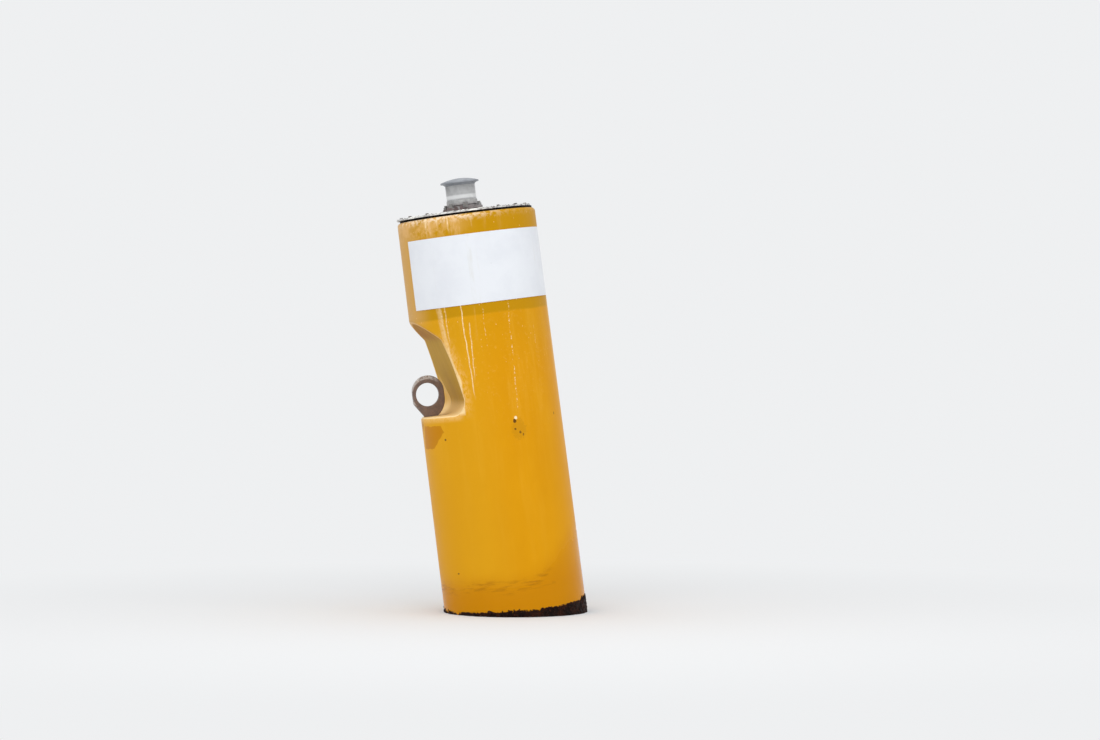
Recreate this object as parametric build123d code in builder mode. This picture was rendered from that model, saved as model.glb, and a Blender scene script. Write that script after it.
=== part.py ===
from build123d import *
from math import cos, radians, sin
import os

# A moored can buoy for open water: a moulded yellow hull with a lifting recess, a bolted top cover
# that carries a small drum lantern, two wrapped sign panels, and a ballast stack with a mooring
# shackle under its foot. Millimetres. Z is up the buoy's axis, Z = 0 is the waterline, the signs
# face -Y and +Y, and the lifting recess faces -X.

# Hull moulding
TOP_DIAMETER = 720.0
WAIST_DIAMETER = 740.0  # at the waterline, where the two mould halves part
FOOT_DIAMETER = 724.0
FREEBOARD = 2085.0  # waterline up to the hull's flat top
DRAUGHT = 1880.0  # waterline down to the hull's flat foot
SHOULDER_RADIUS = 18.0
FOOT_RADIUS = 45.0

# Lifting recess, measured down from the hull's top and inwards from the hull's skin
SOFFIT_BELOW_TOP = 512.0
SOFFIT_DROP = 110.0
LEDGE_BELOW_TOP = 1013.0
RECESS_DEPTH_HIGH = 107.0
RECESS_DEPTH_LOW = 216.0
RECESS_WIDTH = 614.0
RECESS_FOOT_RADIUS = 70.0
RECESS_SOFFIT_RADIUS = 25.0
RECESS_SIDE_RADIUS = 45.0
RECESS_RIM_RADIUS = 16.0
CUT_OVERSHOOT = 60.0  # how far cutting shapes run past the skin
SKIN_TOLERANCE = 0.5  # how near the skin an edge counts as the rim
PICK_MARGIN = 1.0  # how far past a plane an edge counts as beyond it

# Lifting eye, a plate eye whose tang sits in a slot in the ledge
EYE_HOLE_DIAMETER = 121.0
EYE_THICKNESS = 26.0
EYE_SET_BACK = 43.0  # hull's skin to the eye's hole centre
EYE_ABOVE_LEDGE = 115.0
EYE_HALF_WIDTH = 83.0
EYE_CROWN_LIFT = 16.0  # crown arc's centre above the hole's centre
EYE_SKEW = 5.0  # crown arc's centre inboard of the hole's centre
EYE_SHOULDER_DROP = 42.0  # where the outboard side turns in, below the hole's centre
EYE_SHOULDER_RADIUS = 25.0
EYE_CHEEK_DROP = 24.0  # where the inboard side starts to curve in, below the hole's centre
EYE_FOOT_OUT = 27.0  # foot, outboard of the hole's centre
EYE_FOOT_IN = 40.0  # foot, inboard of the hole's centre
EYE_EDGE_RADIUS = 4.0
TANG_DEPTH = 150.0
TANG_CLEARANCE = 0.3

# Wrapped sign panels
SIGN_BELOW_TOP = 104.0
SIGN_HEIGHT = 357.0
SIGN_SPAN = 141.0  # degrees round the hull
SIGN_THICKNESS = 2.5
SIGN_GAP = 0.3
SIGN_FACINGS = {"sign_front": -90.0, "sign_back": 90.0}  # degrees from +X

# Top cover and its gasket
GASKET_DIAMETER = 690.0
GASKET_THICKNESS = 10.0
COVER_DIAMETER = 698.0
COVER_THICKNESS = 9.0
COVER_EDGE_RADIUS = 1.5
COVER_SHIFT = -12.0  # the cover and its lantern sit off the hull's axis, towards the recess

# Lantern, heights above the cover's upper face
STUD_CIRCLE_DIAMETER = 210.0
STUD_COUNT = 4
STUD_DIAMETER = 16.0
STUD_LENGTH = 46.0
STUD_NUT_WIDTH = 24.0  # across the flats
STUD_NUT_HEIGHT = 12.0
EAR_RADIUS = 17.0
EAR_THICKNESS = 13.0
BOLT_CLEARANCE = 0.4
BASE_DIAMETER = 164.0
BASE_TOP = 34.0
BASE_EDGE_RADIUS = 2.5
SEAL_THICKNESS = 3.0
SEAL_WIDTH = 7.0
FRAME_DIAMETER = 161.0
FRAME_HEIGHT = 26.0
LENS_DIAMETER = 155.0
LENS_WALL = 5.5
LENS_HEIGHT = 84.0
LENS_RING_COUNT = 10  # prism rings
LENS_RING_DEPTH = 1.4
LENS_SEAT_DEPTH = 6.0  # how far the lens sits down in its frame
FIT_CLEARANCE = 0.2
CAP_DIAMETER = 200.0
CAP_RIM_LIFT = 12.0  # rim above the lens's upper edge
CAP_RIM_THICKNESS = 7.0
CAP_FLARE_TUCK = 3.0  # flare's middle, inwards of halfway
CAP_FLARE_LIFT = 2.0  # and above halfway
CAP_DOME_RISE = 18.0
CAP_CORE_DIAMETER = 104.0
CAP_CORE_DEPTH = 30.0
LAMP_FOOT_DIAMETER = 96.0
LAMP_FOOT_HEIGHT = 8.0
LAMP_STEM_DIAMETER = 44.0
LAMP_HEAD_DIAMETER = 84.0
LAMP_HEAD_LOW = 31.0  # above the base's top
LAMP_HEAD_HEIGHT = 20.0

# Lantern hinge and latch
HINGE_SET_BACK = 93.0  # lantern's axis to the hinge pin
HINGE_PIN_DIAMETER = 6.0
KNUCKLE_RADIUS = 7.0
KNUCKLE_LENGTH = 22.0  # the frame's middle knuckle
LUG_LENGTH = 12.0  # each of the base's outer knuckles
KNUCKLE_GAP = 0.5
PIN_OVERHANG = 3.0
PIN_SEAT_CLEARANCE = 0.05  # in the base's knuckles, where the pin is held
PIN_CLEARANCE = 0.08  # in the frame's knuckle, which turns on it
LATCH_WIDTH = 26.0
LATCH_THICKNESS = 4.0
LATCH_DROP = 17.0  # below the frame's lower face
LATCH_GAP = 1.0  # latch plate to the base's side
LATCH_KNOB_DIAMETER = 14.0
LATCH_KNOB_LENGTH = 9.0

# Foot flange, ballast stack and keel plate
FLANGE_DIAMETER = 460.0
FLANGE_THICKNESS = 20.0
BALLAST_DIAMETER = 560.0
BALLAST_THICKNESS = 76.0
BALLAST_COUNT = 4
BALLAST_CHAMFER = 7.0
KEEL_DIAMETER = 480.0
KEEL_THICKNESS = 25.0
TIE_CIRCLE_DIAMETER = 400.0
TIE_COUNT = 4
TIE_DIAMETER = 36.0
TIE_CLEARANCE = 1.0
TIE_NUT_WIDTH = 55.0
TIE_NUT_HEIGHT = 29.0
TIE_TAIL = 22.0  # rod below its nut

# Mooring lug and shackle
LUG_THICKNESS = 40.0
LUG_ROOT_WIDTH = 230.0
LUG_EYE_RADIUS = 50.0
LUG_EYE_DROP = 98.0  # keel plate's underside to the pin's axis
GUSSET_REACH = 70.0
GUSSET_HEIGHT = 44.0
GUSSET_THICKNESS = 16.0
SHACKLE_PIN_DIAMETER = 38.0
SHACKLE_PIN_CLEARANCE = 0.1
SHACKLE_BAR_DIAMETER = 32.0
SHACKLE_JAW = 56.0  # clear width between the ears
SHACKLE_EAR_RADIUS = 40.0
SHACKLE_EAR_THICKNESS = 36.0
SHACKLE_BOW_DROP = 92.0  # pin's axis to the bow arc's centre
SHACKLE_EAR_CLEARANCE = 0.1
PIN_HEAD_DIAMETER = 58.0
PIN_HEAD_THICKNESS = 14.0
PIN_NUT_WIDTH = 60.0
PIN_NUT_THICKNESS = 24.0
PIN_TAIL = 16.0


def hull_radius(z):
    """The hull's skin radius at a height: a straight draught angle in each mould half."""
    if z >= 0:
        return (WAIST_DIAMETER + (TOP_DIAMETER - WAIST_DIAMETER) * z / FREEBOARD) / 2
    return (WAIST_DIAMETER + (FOOT_DIAMETER - WAIST_DIAMETER) * -z / DRAUGHT) / 2


def on_recess_rim(edge):
    """True where an edge's middle lies on the hull's skin, on the recess's side of the axis."""
    middle = edge @ 0.5
    radius = (middle.X**2 + middle.Y**2) ** 0.5
    return middle.X < 0 and abs(radius - hull_radius(middle.Z)) < SKIN_TOLERANCE


def save(piece, name):
    """Labels a finished piece and writes it as its own file."""
    piece.label = name
    export_step(piece, f"parts/{name}.step")


os.makedirs("parts", exist_ok=True)

SOFFIT_Z = FREEBOARD - SOFFIT_BELOW_TOP
WALL_TOP_Z = SOFFIT_Z - SOFFIT_DROP
LEDGE_Z = FREEBOARD - LEDGE_BELOW_TOP
WALL_TOP_X = -(hull_radius(WALL_TOP_Z) - RECESS_DEPTH_HIGH)
WALL_FOOT_X = -(hull_radius(LEDGE_Z) - RECESS_DEPTH_LOW)
EYE_Z = LEDGE_Z + EYE_ABOVE_LEDGE
EYE_X = -(hull_radius(EYE_Z) - EYE_SET_BACK)

# Recess cutter: soffit sloping in, back wall leaning in as it goes down, level ledge
soffit_slope = SOFFIT_DROP / (hull_radius(SOFFIT_Z) + WALL_TOP_X)
outside_x = -(hull_radius(SOFFIT_Z) + CUT_OVERSHOOT)
with BuildPart() as recess:
    with BuildSketch(Plane.XZ):
        with BuildLine():
            Polyline(
                (outside_x, SOFFIT_Z + soffit_slope * CUT_OVERSHOOT),
                (WALL_TOP_X, WALL_TOP_Z),
                (WALL_FOOT_X, LEDGE_Z),
                (outside_x, LEDGE_Z),
                close=True,
            )
        make_face()
    extrude(amount=RECESS_WIDTH / 2, both=True)
    wall_top = recess.edges().filter_by(Axis.Y).sort_by_distance((WALL_TOP_X, 0, WALL_TOP_Z))[0]
    fillet(wall_top, RECESS_SOFFIT_RADIUS)
    wall_foot = recess.edges().filter_by(Axis.Y).sort_by_distance((WALL_FOOT_X, 0, LEDGE_Z))[0]
    fillet(wall_foot, RECESS_FOOT_RADIUS)
    # the side walls meet the back wall and the ledge in a rounded corner
    sides = recess.faces().filter_by(Axis.Y)
    inner = [e for e in sides.edges() if e.center().X > outside_x + PICK_MARGIN]
    fillet(inner, RECESS_SIDE_RADIUS)

# Eye outline, in X and Z about the hole's centre
eye_foot_z = -EYE_ABOVE_LEDGE
with BuildPart() as lifting_eye:
    with BuildSketch(Plane.XZ) as eye_outline:
        with BuildLine():
            crown = CenterArc((EYE_SKEW, EYE_CROWN_LIFT), EYE_HALF_WIDTH, 0, 180)
            outboard = Line(crown @ 1, (EYE_SKEW - EYE_HALF_WIDTH, -EYE_SHOULDER_DROP))
            Line(outboard @ 1, (-EYE_FOOT_OUT, eye_foot_z))
            Line((-EYE_FOOT_OUT, eye_foot_z), (EYE_FOOT_IN, eye_foot_z))
            inboard = Line(crown @ 0, (EYE_SKEW + EYE_HALF_WIDTH, -EYE_CHEEK_DROP))
            TangentArc(inboard @ 1, (EYE_FOOT_IN, eye_foot_z), tangent=(0, -1))
        make_face()
        shoulder = eye_outline.vertices().sort_by_distance(outboard @ 1)[0]
        fillet(shoulder, EYE_SHOULDER_RADIUS)
        Circle(EYE_HOLE_DIAMETER / 2, mode=Mode.SUBTRACT)
    extrude(amount=EYE_THICKNESS / 2, both=True)
    outlines = lifting_eye.faces().filter_by(Axis.Y).edges()
    fillet([e for e in outlines if e.center().Z > eye_foot_z + PICK_MARGIN], EYE_EDGE_RADIUS)
    with Locations(((EYE_FOOT_IN - EYE_FOOT_OUT) / 2, 0, eye_foot_z)):
        Box(
            EYE_FOOT_IN + EYE_FOOT_OUT,
            EYE_THICKNESS,
            TANG_DEPTH,
            align=(Align.CENTER, Align.CENTER, Align.MAX),
        )
eye = Pos(EYE_X, 0, EYE_Z) * lifting_eye.part
save(eye, "lifting_eye")

# Hull: one moulding, with the recess and the eye's slot
with BuildPart() as hull:
    with BuildSketch(Plane.XZ):
        with BuildLine():
            Polyline(
                (0, -DRAUGHT),
                (FOOT_DIAMETER / 2, -DRAUGHT),
                (WAIST_DIAMETER / 2, 0),
                (TOP_DIAMETER / 2, FREEBOARD),
                (0, FREEBOARD),
                close=True,
            )
        make_face()
    revolve(axis=Axis.Z)
    fillet(hull.edges().group_by(Axis.Z)[-1], SHOULDER_RADIUS)
    fillet(hull.edges().group_by(Axis.Z)[0], FOOT_RADIUS)
    add(recess.part, mode=Mode.SUBTRACT)
    fillet([e for e in hull.edges(Select.LAST) if on_recess_rim(e)], RECESS_RIM_RADIUS)
    with Locations((EYE_X + (EYE_FOOT_IN - EYE_FOOT_OUT) / 2, 0, LEDGE_Z)):
        Box(
            EYE_FOOT_IN + EYE_FOOT_OUT + 2 * TANG_CLEARANCE,
            EYE_THICKNESS + 2 * TANG_CLEARANCE,
            TANG_DEPTH + TANG_CLEARANCE,
            align=(Align.CENTER, Align.CENTER, Align.MAX),
            mode=Mode.SUBTRACT,
        )
save(hull.part, "hull")

# Sign panels: thin sheets wrapped round the tapered hull
sign_high = FREEBOARD - SIGN_BELOW_TOP
sign_low = sign_high - SIGN_HEIGHT
for name, facing in SIGN_FACINGS.items():
    with BuildPart() as sign:
        with BuildSketch(Plane.XZ.rotated((0, 0, facing - SIGN_SPAN / 2))):
            with BuildLine():
                Polyline(
                    (hull_radius(sign_low) + SIGN_GAP, sign_low),
                    (hull_radius(sign_low) + SIGN_GAP + SIGN_THICKNESS, sign_low),
                    (hull_radius(sign_high) + SIGN_GAP + SIGN_THICKNESS, sign_high),
                    (hull_radius(sign_high) + SIGN_GAP, sign_high),
                    close=True,
                )
            make_face()
        revolve(axis=Axis.Z, revolution_arc=SIGN_SPAN)
    save(sign.part, name)

# Gasket and top cover
with BuildPart(Plane.XY.offset(FREEBOARD)) as gasket:
    Cylinder(GASKET_DIAMETER / 2, GASKET_THICKNESS, align=(Align.CENTER, Align.CENTER, Align.MIN))
save(gasket.part, "cover_gasket")

cover_low = FREEBOARD + GASKET_THICKNESS
deck = cover_low + COVER_THICKNESS
with BuildPart(Plane((COVER_SHIFT, 0, cover_low))) as cover:
    Cylinder(COVER_DIAMETER / 2, COVER_THICKNESS, align=(Align.CENTER, Align.CENTER, Align.MIN))
    fillet(cover.edges(), COVER_EDGE_RADIUS)
save(cover.part, "top_cover")

# Lantern. Its own axis stands on the shifted cover.
lantern_plane = Plane((COVER_SHIFT, 0, deck))
ear_low = STUD_NUT_HEIGHT
ear_high = ear_low + EAR_THICKNESS
FIRST_STUD = 180.0 / STUD_COUNT  # the studs stand between the buoy's axes

with BuildPart(lantern_plane) as studs:
    with PolarLocations(STUD_CIRCLE_DIAMETER / 2, STUD_COUNT, start_angle=FIRST_STUD):
        Cylinder(STUD_DIAMETER / 2, STUD_LENGTH, align=(Align.CENTER, Align.CENTER, Align.MIN))
    for nut_low in (0, ear_high):
        with BuildSketch(lantern_plane.offset(nut_low)):
            with PolarLocations(STUD_CIRCLE_DIAMETER / 2, STUD_COUNT, start_angle=FIRST_STUD):
                RegularPolygon(STUD_NUT_WIDTH / 2, 6, major_radius=False)
        extrude(amount=STUD_NUT_HEIGHT)
save(studs.part, "lantern_studs")

hinge_y = HINGE_SET_BACK
hinge_z = BASE_TOP + SEAL_THICKNESS
lug_centre = (KNUCKLE_LENGTH + LUG_LENGTH) / 2 + KNUCKLE_GAP
hinge_pin_length = KNUCKLE_LENGTH + 2 * (LUG_LENGTH + KNUCKLE_GAP + PIN_OVERHANG)
with BuildPart(lantern_plane) as base:
    with Locations((0, 0, ear_low)):
        Cylinder(BASE_DIAMETER / 2, BASE_TOP - ear_low, align=(Align.CENTER, Align.CENTER, Align.MIN))
    fillet(base.edges(), BASE_EDGE_RADIUS)
    with BuildSketch(lantern_plane.offset(ear_low)):
        for k in range(STUD_COUNT):
            turn = FIRST_STUD + k * 360 / STUD_COUNT
            reach = STUD_CIRCLE_DIAMETER / 2
            with Locations((reach * cos(radians(turn)), reach * sin(radians(turn)))):
                Circle(EAR_RADIUS)
            with Locations(Location((reach / 2 * cos(radians(turn)), reach / 2 * sin(radians(turn))), turn)):
                Rectangle(reach, 2 * EAR_RADIUS)
    extrude(amount=EAR_THICKNESS)
    with BuildSketch(lantern_plane.offset(ear_low)):
        with PolarLocations(STUD_CIRCLE_DIAMETER / 2, STUD_COUNT, start_angle=FIRST_STUD):
            Circle(STUD_DIAMETER / 2 + BOLT_CLEARANCE)
    extrude(amount=EAR_THICKNESS, mode=Mode.SUBTRACT)
    # the two outer hinge knuckles, each on a short web from the base
    with Locations(*[(side * lug_centre, hinge_y, hinge_z) for side in (-1, 1)]):
        Cylinder(KNUCKLE_RADIUS, LUG_LENGTH, rotation=(0, 90, 0))
    with Locations(*[(side * lug_centre, hinge_y, hinge_z) for side in (-1, 1)]):
        Box(
            LUG_LENGTH,
            HINGE_SET_BACK - BASE_DIAMETER / 2 + BASE_EDGE_RADIUS - LATCH_GAP,
            hinge_z - ear_high,
            align=(Align.CENTER, Align.MAX, Align.MAX),
        )
    with Locations((0, hinge_y, hinge_z)):
        Cylinder(
            HINGE_PIN_DIAMETER / 2 + PIN_SEAT_CLEARANCE,
            hinge_pin_length,
            rotation=(0, 90, 0),
            mode=Mode.SUBTRACT,
        )
save(base.part, "lantern_base")

with BuildPart(lantern_plane.offset(hinge_z)) as hinge_pin:
    with Locations((0, hinge_y, 0)):
        Cylinder(HINGE_PIN_DIAMETER / 2, hinge_pin_length, rotation=(0, 90, 0))
save(hinge_pin.part, "hinge_pin")

frame_low = BASE_TOP + SEAL_THICKNESS
frame_high = frame_low + FRAME_HEIGHT
lens_low = frame_high - LENS_SEAT_DEPTH
lens_high = lens_low + LENS_HEIGHT
lens_inside = LENS_DIAMETER / 2 - LENS_WALL
with BuildPart(lantern_plane.offset(BASE_TOP)) as seal:
    Cylinder(lens_inside + SEAL_WIDTH, SEAL_THICKNESS, align=(Align.CENTER, Align.CENTER, Align.MIN))
    Cylinder(lens_inside, SEAL_THICKNESS, align=(Align.CENTER, Align.CENTER, Align.MIN), mode=Mode.SUBTRACT)
save(seal.part, "lens_seal")

# Frame that holds the lens, with the hinge's middle knuckle at the back
with BuildPart(lantern_plane.offset(frame_low)) as frame:
    Cylinder(FRAME_DIAMETER / 2, FRAME_HEIGHT, align=(Align.CENTER, Align.CENTER, Align.MIN))
    fillet(frame.edges().group_by(Axis.Z)[-1], BASE_EDGE_RADIUS)
    with Locations((0, hinge_y, 0)):
        Cylinder(KNUCKLE_RADIUS, KNUCKLE_LENGTH, rotation=(0, 90, 0))
    with Locations((0, hinge_y, 0)):
        Box(
            KNUCKLE_LENGTH,
            HINGE_SET_BACK - lens_inside - SEAL_WIDTH,
            KNUCKLE_RADIUS,
            align=(Align.CENTER, Align.MAX, Align.MIN),
        )
    Cylinder(lens_inside, FRAME_HEIGHT, align=(Align.CENTER, Align.CENTER, Align.MIN), mode=Mode.SUBTRACT)
    with Locations((0, 0, lens_low - frame_low)):
        Cylinder(
            LENS_DIAMETER / 2 + FIT_CLEARANCE,
            LENS_SEAT_DEPTH,
            align=(Align.CENTER, Align.CENTER, Align.MIN),
            mode=Mode.SUBTRACT,
        )
    with Locations((0, hinge_y, 0)):
        Cylinder(
            HINGE_PIN_DIAMETER / 2 + PIN_CLEARANCE,
            KNUCKLE_LENGTH + LUG_LENGTH,
            rotation=(0, 90, 0),
            mode=Mode.SUBTRACT,
        )
save(frame.part, "lens_frame")

# Drum lens: a plain middle belt, with prism rings cut above and below it
ring_pitch = (LENS_HEIGHT - LENS_SEAT_DEPTH) / (LENS_RING_COUNT + 2)
with BuildPart(lantern_plane.offset(lens_low)) as lens:
    Cylinder(LENS_DIAMETER / 2, LENS_HEIGHT, align=(Align.CENTER, Align.CENTER, Align.MIN))
    Cylinder(lens_inside, LENS_HEIGHT, align=(Align.CENTER, Align.CENTER, Align.MIN), mode=Mode.SUBTRACT)
    with BuildSketch(Plane((COVER_SHIFT, 0, deck + lens_low), x_dir=(1, 0, 0), z_dir=(0, -1, 0))):
        for k in range(LENS_RING_COUNT + 2):
            if k in (LENS_RING_COUNT // 2, LENS_RING_COUNT // 2 + 1):
                continue  # the middle belt stays plain
            notch = LENS_SEAT_DEPTH + (k + 0.5) * ring_pitch
            with BuildLine():
                Polyline(
                    (LENS_DIAMETER / 2 - LENS_RING_DEPTH, notch),
                    (LENS_DIAMETER / 2 + LENS_RING_DEPTH, notch - ring_pitch / 3),
                    (LENS_DIAMETER / 2 + LENS_RING_DEPTH, notch + ring_pitch / 3),
                    close=True,
                )
            make_face()
    revolve(axis=Axis((COVER_SHIFT, 0, 0), (0, 0, 1)), mode=Mode.SUBTRACT)
save(lens.part, "lens")

# Cap: a spun hat with a flared rim and a low dome
cap_low = deck + lens_high
rim_low = cap_low + CAP_RIM_LIFT
flare_x = (LENS_DIAMETER + CAP_DIAMETER) / 4 - CAP_FLARE_TUCK
flare_z = cap_low + CAP_RIM_LIFT / 2 + CAP_FLARE_LIFT
with BuildPart() as cap:
    with BuildSketch(Plane((COVER_SHIFT, 0, 0), x_dir=(1, 0, 0), z_dir=(0, -1, 0))):
        with BuildLine():
            flare = ThreePointArc((LENS_DIAMETER / 2, cap_low), (flare_x, flare_z), (CAP_DIAMETER / 2, rim_low))
            edge = Line(flare @ 1, (CAP_DIAMETER / 2, rim_low + CAP_RIM_THICKNESS))
            apex = (0, rim_low + CAP_RIM_THICKNESS + CAP_DOME_RISE)
            TangentArc(apex, edge @ 1, tangent=(1, 0))
            Line(apex, (0, cap_low))
            Line((0, cap_low), (LENS_DIAMETER / 2, cap_low))
        make_face()
    revolve(axis=Axis((COVER_SHIFT, 0, 0), (0, 0, 1)))
save(cap.part, "lens_cap")

with BuildPart(Plane((COVER_SHIFT, 0, cap_low - CAP_CORE_DEPTH))) as core:
    Cylinder(CAP_CORE_DIAMETER / 2, CAP_CORE_DEPTH, align=(Align.CENTER, Align.CENTER, Align.MIN))
    fillet(core.edges().group_by(Axis.Z)[0], BASE_EDGE_RADIUS)
save(core.part, "flasher_can")

with BuildPart(lantern_plane.offset(BASE_TOP)) as lamp:
    Cylinder(LAMP_FOOT_DIAMETER / 2, LAMP_FOOT_HEIGHT, align=(Align.CENTER, Align.CENTER, Align.MIN))
    Cylinder(LAMP_STEM_DIAMETER / 2, LAMP_HEAD_LOW, align=(Align.CENTER, Align.CENTER, Align.MIN))
    with Locations((0, 0, LAMP_HEAD_LOW)):
        Cylinder(LAMP_HEAD_DIAMETER / 2, LAMP_HEAD_HEIGHT, align=(Align.CENTER, Align.CENTER, Align.MIN))
save(lamp.part, "lamp_unit")

# Latch: a strap on the frame that hangs down over the base's side, with a knob
latch_inner = BASE_DIAMETER / 2 + LATCH_GAP
latch_height = LATCH_DROP + FRAME_HEIGHT / 2
with BuildPart(lantern_plane) as latch:
    with Locations((0, -latch_inner, frame_low - LATCH_DROP)):
        Box(LATCH_WIDTH, LATCH_THICKNESS, latch_height, align=(Align.CENTER, Align.MAX, Align.MIN))
    with Locations((0, -latch_inner, frame_low + FRAME_HEIGHT / 2)):
        Box(
            LATCH_WIDTH,
            latch_inner - FRAME_DIAMETER / 2 + LATCH_THICKNESS,
            LATCH_THICKNESS,
            align=(Align.CENTER, Align.MIN, Align.MAX),
        )
    with Locations((0, -latch_inner - LATCH_THICKNESS, frame_low - LATCH_DROP / 2)):
        Cylinder(
            LATCH_KNOB_DIAMETER / 2,
            LATCH_KNOB_LENGTH,
            rotation=(90, 0, 0),
            align=(Align.CENTER, Align.CENTER, Align.MIN),
        )
    with Locations((0, 0, frame_low)):
        Cylinder(
            FRAME_DIAMETER / 2,
            FRAME_HEIGHT,
            align=(Align.CENTER, Align.CENTER, Align.MIN),
            mode=Mode.SUBTRACT,
        )
save(latch.part, "lantern_latch")

# Foot flange, ballast discs, keel plate and tie rods
flange_top = -DRAUGHT
flange_low = flange_top - FLANGE_THICKNESS
with BuildPart(Plane.XY.offset(flange_low)) as flange:
    Cylinder(FLANGE_DIAMETER / 2, FLANGE_THICKNESS, align=(Align.CENTER, Align.CENTER, Align.MIN))
save(flange.part, "foot_flange")

FIRST_TIE = 180.0 / TIE_COUNT
for k in range(BALLAST_COUNT):
    disc_low = flange_low - (k + 1) * BALLAST_THICKNESS
    with BuildPart(Plane.XY.offset(disc_low)) as disc:
        Cylinder(BALLAST_DIAMETER / 2, BALLAST_THICKNESS, align=(Align.CENTER, Align.CENTER, Align.MIN))
        chamfer(disc.edges(), BALLAST_CHAMFER)
        with PolarLocations(TIE_CIRCLE_DIAMETER / 2, TIE_COUNT, start_angle=FIRST_TIE):
            Cylinder(
                TIE_DIAMETER / 2 + TIE_CLEARANCE,
                BALLAST_THICKNESS,
                align=(Align.CENTER, Align.CENTER, Align.MIN),
                mode=Mode.SUBTRACT,
            )
    save(disc.part, f"ballast_disc_{k + 1}")

keel_top = flange_low - BALLAST_COUNT * BALLAST_THICKNESS
keel_low = keel_top - KEEL_THICKNESS
with BuildPart(Plane.XY.offset(keel_low)) as keel:
    Cylinder(KEEL_DIAMETER / 2, KEEL_THICKNESS, align=(Align.CENTER, Align.CENTER, Align.MIN))
    with PolarLocations(TIE_CIRCLE_DIAMETER / 2, TIE_COUNT, start_angle=FIRST_TIE):
        Cylinder(
            TIE_DIAMETER / 2 + TIE_CLEARANCE,
            KEEL_THICKNESS,
            align=(Align.CENTER, Align.CENTER, Align.MIN),
            mode=Mode.SUBTRACT,
        )
save(keel.part, "keel_plate")

rod_low = keel_low - TIE_NUT_HEIGHT - TIE_TAIL
with BuildPart(Plane.XY.offset(rod_low)) as ties:
    with PolarLocations(TIE_CIRCLE_DIAMETER / 2, TIE_COUNT, start_angle=FIRST_TIE):
        Cylinder(TIE_DIAMETER / 2, flange_low - rod_low, align=(Align.CENTER, Align.CENTER, Align.MIN))
    with BuildSketch(Plane.XY.offset(keel_low - TIE_NUT_HEIGHT)):
        with PolarLocations(TIE_CIRCLE_DIAMETER / 2, TIE_COUNT, start_angle=FIRST_TIE):
            RegularPolygon(TIE_NUT_WIDTH / 2, 6, major_radius=False)
    extrude(amount=TIE_NUT_HEIGHT)
save(ties.part, "tie_rods")

# Mooring lug with two gussets, welded under the keel plate
pin_z = keel_low - LUG_EYE_DROP
with BuildPart() as lug:
    with BuildSketch(Plane.XZ):
        with BuildLine():
            Polyline(
                (-LUG_ROOT_WIDTH / 2, keel_low),
                (LUG_ROOT_WIDTH / 2, keel_low),
                (LUG_EYE_RADIUS, pin_z),
                (-LUG_EYE_RADIUS, pin_z),
                close=True,
            )
        make_face()
        with Locations((0, pin_z)):
            Circle(LUG_EYE_RADIUS)
            Circle(SHACKLE_PIN_DIAMETER / 2 + SHACKLE_PIN_CLEARANCE, mode=Mode.SUBTRACT)
    extrude(amount=LUG_THICKNESS / 2, both=True)
    gusset_root = LUG_THICKNESS / 2 + GUSSET_REACH
    with BuildSketch(Plane.YZ):
        with BuildLine():
            Polyline(
                (-gusset_root, keel_low),
                (gusset_root, keel_low),
                (LUG_THICKNESS / 2, keel_low - GUSSET_HEIGHT),
                (-LUG_THICKNESS / 2, keel_low - GUSSET_HEIGHT),
                close=True,
            )
        make_face()
    extrude(amount=GUSSET_THICKNESS / 2, both=True)
save(lug.part, "mooring_lug")

# Shackle: ears on the pin, straight legs, and a round bow below
leg_y = (SHACKLE_JAW + SHACKLE_EAR_THICKNESS) / 2
bow_z = pin_z - SHACKLE_BOW_DROP
with BuildPart() as bow:
    with BuildSketch(Plane.XY.offset(bow_z)):
        with Locations((0, leg_y)):
            Circle(SHACKLE_BAR_DIAMETER / 2)
    revolve(axis=Axis((0, 0, bow_z), (-1, 0, 0)), revolution_arc=180)
    for side in (-1, 1):
        with Locations((0, side * leg_y, bow_z)):
            Cylinder(
                SHACKLE_BAR_DIAMETER / 2,
                SHACKLE_BOW_DROP,
                align=(Align.CENTER, Align.CENTER, Align.MIN),
            )
        with Locations((0, side * leg_y, pin_z)):
            Cylinder(SHACKLE_EAR_RADIUS, SHACKLE_EAR_THICKNESS, rotation=(90, 0, 0))
    with Locations((0, 0, pin_z)):
        Cylinder(
            SHACKLE_PIN_DIAMETER / 2 + SHACKLE_EAR_CLEARANCE,
            2 * (leg_y + SHACKLE_EAR_THICKNESS),
            rotation=(90, 0, 0),
            mode=Mode.SUBTRACT,
        )
save(bow.part, "shackle_bow")

ear_face = leg_y + SHACKLE_EAR_THICKNESS / 2
pin_end = ear_face + PIN_NUT_THICKNESS + PIN_TAIL
with BuildPart(Plane((0, 0, pin_z), x_dir=(1, 0, 0), z_dir=(0, 1, 0))) as pin:
    with Locations((0, 0, -ear_face)):
        Cylinder(SHACKLE_PIN_DIAMETER / 2, ear_face + pin_end, align=(Align.CENTER, Align.CENTER, Align.MIN))
        Cylinder(PIN_HEAD_DIAMETER / 2, PIN_HEAD_THICKNESS, align=(Align.CENTER, Align.CENTER, Align.MAX))
save(pin.part, "shackle_pin")

with BuildPart() as nut:
    with BuildSketch(Plane((0, ear_face, pin_z), x_dir=(1, 0, 0), z_dir=(0, 1, 0))):
        RegularPolygon(PIN_NUT_WIDTH / 2, 6, major_radius=False)
        Circle(SHACKLE_PIN_DIAMETER / 2, mode=Mode.SUBTRACT)
    extrude(amount=PIN_NUT_THICKNESS)
save(nut.part, "shackle_nut")
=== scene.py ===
import math

import bpy
from mathutils import Matrix, Vector


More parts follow.
